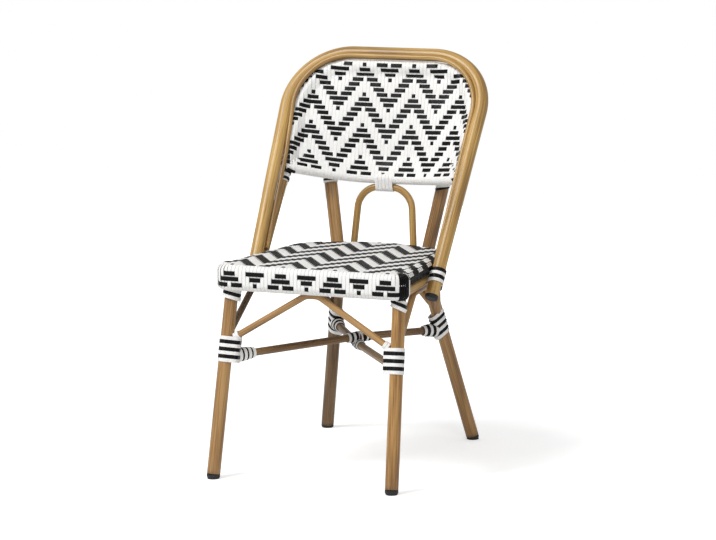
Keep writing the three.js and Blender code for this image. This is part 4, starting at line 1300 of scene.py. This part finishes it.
def bind_front_leg(side_name, side):
    inward = vec(-side, 0, 0)
    stretcher = LOWER_STRETCHER if side < 0 else UPPER_STRETCHER
    away = unit(stretcher[1] - stretcher[0])
    leg = front_axis(side)
    up = unit(leg[1] - leg[0])
    plan = unit(away * vec(1, 1, 0))
    bound = BOUND_STRETCHER_IN * np.abs(plan) * vec(1, -side, 0)
    circles = [(0, 0, TUBE_R), (BOUND_BRACE_IN, 0, BRACE_R), (bound[0], bound[1], STRETCHER_R)]
    brace_foot, brace_next = [on_side(side, p) for p in FRONT_BRACE[:2]]
    brace_way = unit(brace_next - brace_foot)
    binding = Binding(f"front_leg_{side_name}")
    bind_leg(binding, leg, FRONT_BIND_Z, up, circles, inward)
    for place in FRONT_TIE_PLACES:
        binding.turn(True, brace_foot + brace_way * place, brace_way, UP, [(0, 0, BRACE_R)], width=TIE_WIDTH)
    binding.done()
    bind_stub(f"front_leg_{side_name}", stretcher[0], away, FRONT_STUB)
    leg_top = Binding(f"front_leg_top_{side_name}")
    tilt = unit(up + LEG_TOP_SLANT[side] * VIEW_RIGHT)
    for k, z in enumerate(LEG_TOP_HEIGHTS):
        leg_top.turn(k % 2 == 0, at_height(leg, z), tilt, inward, LEG_TOP_CIRCLES[side])
    leg_top.done()


def bind_rear_leg(side_name, side):
    stretcher = UPPER_STRETCHER if side < 0 else LOWER_STRETCHER
    leg = rear_stations(side)
    across = unit(unit(leg[1] - leg[0]) + VIEW_RIGHT * REAR_BIND_SLANT[side])
    binding = Binding(f"rear_leg_{side_name}")
    bind_leg(binding, leg, REAR_BIND_Z[side], across, REAR_BIND_CIRCLES[side], vec(-side, 0, 0))
    binding.done()
    bind_stub(f"rear_leg_{side_name}", stretcher[-1], unit(stretcher[-2] - stretcher[-1]), REAR_STUB)


def bind_hoop_end(side_name, side):
    binding = Binding(f"hoop_end_{side_name}")
    for k in range(4):
        z = HOOP_BIND_Z - HOOP_BIND_PITCH * k
        centre = on_lean(side * hoop_half(rise_at(z)), rise_at(z), 0)
        binding.turn(k % 2 == 1, centre, LEAN_UP, vec(-side, 0, 0), [(0, 0, TUBE_R + 1), (9, 0, 7)])
    binding.done()


def bind_crossing():
    binding = Binding("stretcher_crossing")
    for stretcher in (LOWER_STRETCHER, UPPER_STRETCHER):
        middle = stretcher[len(stretcher) // 2]
        for way in (unit(stretcher[-1] - middle), unit(stretcher[0] - middle)):
            for k in range(4):
                place = middle + way * (CROSSING_START + CROSSING_PITCH * k)
                radius = STRETCHER_R + CROSSING_LIFT - CROSSING_FALL * k
                binding.turn(k % 2 == 1, place, way, UP, [(0, 0, radius)], width=CROSSING_WIDTH)
    centre = vec(0, LOWER_STRETCHER[len(LOWER_STRETCHER) // 2][1], (CROSSING_HIGH + CROSSING_LOW) / 2)
    gap = (CROSSING_HIGH - CROSSING_LOW) / 2
    circles = [(gap, 0, STRETCHER_R + 1.2), (-gap, 0, STRETCHER_R + 1.2)]
    for way in (vec(1, 0, 0), vec(0, 1, 0)):
        for place in (-CROSSING_WRAP_PLACE, CROSSING_WRAP_PLACE):
            binding.turn(True, centre + way * place, way, UP, circles, width=CROSSING_WRAP_WIDTH)
    binding.done()


def build_boots():
    """Boots round the tops of the uprights, and the collar that ties the back to the arch."""
    white, black = Mesh(), Mesh()
    for side in (-1, 1):
        upright = rear_stations(side)[-2:]
        for z, width, is_white, slant in BOOT_TURNS[side]:
            across = unit(unit(upright[1] - upright[0]) + slant * VIEW_RIGHT)
            add_turn(white if is_white else black, at_height(upright, z), across, vec(1, 0, 0),
                     [(0, 0, TUBE_R)], width=width)
    gap = (RAIL_Z - ARCH_CROWN_Z) / 2
    circles = [(gap, 0, PANEL_TUBE_R + 2.4), (-gap, 0, ARCH_R + 0.2)]
    for k in range(-2, 3):
        middle = vec(BACK_CENTRE + COLLAR_OFFSET + COLLAR_PITCH * k, RAIL_Y, (RAIL_Z + ARCH_CROWN_Z) / 2)
        add_turn(white, middle, vec(-1, 0, 0), UP, circles, width=COLLAR_WIDTH)
    return white, black


WEAVES = (("back_weave", build_back, "back_panel_weave"), ("seat_weave", build_seat, "seat_weave"),
          ("back_boots", build_boots, "back_panel_weave"))
for weave_name, build, node in WEAVES:
    for word, mesh, material in zip(STRAND_WORDS, build(), STRANDS):
        mesh.piece(f"{weave_name}_{word}", material, [node], f"{word}_strand")
for side_name, side in (("left", -1), ("right", 1)):
    bind_front_leg(side_name, side)
    bind_rear_leg(side_name, side)
bind_hoop_end("left", -1)
bind_hoop_end("right", 1)
bind_crossing()


# Glides and caps, which are the solids themselves

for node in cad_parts:
    if "glide" in node or "cap" in node.split("_"):
        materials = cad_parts[node].data.materials
        materials.clear()
        materials.append(DARK_PLASTIC)


# Floor, light and camera. What the camera sees of the floor and the world glows white.

WORLD_LEVEL = 0.5
FLOOR_HALF = 4.0
NEAR_GLOW = 0.42
FAR_GLOW = 0.8


def build_floor():
    mesh = bpy.data.meshes.new("floor")
    corners = [(-1, -1), (1, -1), (1, 1), (-1, 1)]
    mesh.from_pydata([(x * FLOOR_HALF, y * FLOOR_HALF, 0) for x, y in corners], [], [(0, 1, 2, 3)])
    material, tree = new_material("white_floor")
    place = add_node(tree, "NewGeometry", "Position", {})
    away = add_node(tree, "VectorMath", "Value", {0: place}, operation="LENGTH")
    glow = add_node(tree, "MapRange", 0, {"Value": away, "From Min": 0.5, "From Max": 2.2,
                                          "To Min": NEAR_GLOW, "To Max": FAR_GLOW})
    camera_ray = add_node(tree, "LightPath", "Is Camera Ray", {})
    feed(tree, tree.nodes["Principled BSDF"], {
        "Base Color": (0.9, 0.9, 0.9, 1),
        "Roughness": 0.9,
        "Specular IOR Level": 0.0,
        "Emission Color": (1, 1, 1, 1),
        "Emission Strength": add_node(tree, "Math", 0, {0: glow, 1: camera_ray}, operation="MULTIPLY"),
    })
    mesh.materials.append(material)
    obj = add_object("floor", mesh)


def add_lamp(name, place, target, size, energy):
    light = bpy.data.lights.new(name, "AREA")
    light.shape = "SQUARE"
    light.size = size
    light.energy = energy
    lamp = add_object(name, light)
    lamp.location = place
    lamp.rotation_euler = (Vector(target) - Vector(place)).to_track_quat("-Z", "Y").to_euler()


def build_world():
    world = bpy.data.worlds.new("studio")
    world.use_nodes = True
    bpy.context.scene.world = world
    tree = world.node_tree
    camera_ray = add_node(tree, "LightPath", "Is Camera Ray", {})
    level = add_node(tree, "MapRange", 0, {"Value": camera_ray, "To Min": WORLD_LEVEL, "To Max": 1.0})
    feed(tree, tree.nodes["Background"], {"Color": (1, 1, 1, 1), "Strength": level})


def build_camera():
    data = bpy.data.cameras.new("camera")
    data.sensor_fit = "HORIZONTAL"
    data.sensor_width = SENSOR_WIDTH
    data.lens = FOCAL_PIXELS / PHOTO_WIDTH * SENSOR_WIDTH
    data.clip_end = CAMERA_CLIP_END
    level = vec(math.sin(CAMERA_AZIMUTH), -math.cos(CAMERA_AZIMUTH), 0)
    away = level * math.cos(CAMERA_ELEVATION) + UP * math.sin(CAMERA_ELEVATION)
    camera = add_object("camera", data)
    camera.location = vec(*CAMERA_TARGET) + CAMERA_DISTANCE * away
    camera.rotation_euler = Vector(-away).to_track_quat("-Z", "Y").to_euler()
    bpy.context.scene.camera = camera


build_floor()
add_lamp("key_lamp", place=(-1.8, -2.5, 3.9), target=(0, 0, 0.4), size=1.6, energy=132)
add_lamp("fill_lamp", place=(1.7, -2.6, 2.4), target=(0, 0, 0.5), size=1.1, energy=20)
build_world()
build_camera()
bpy.context.scene.view_settings.view_transform = "Standard"
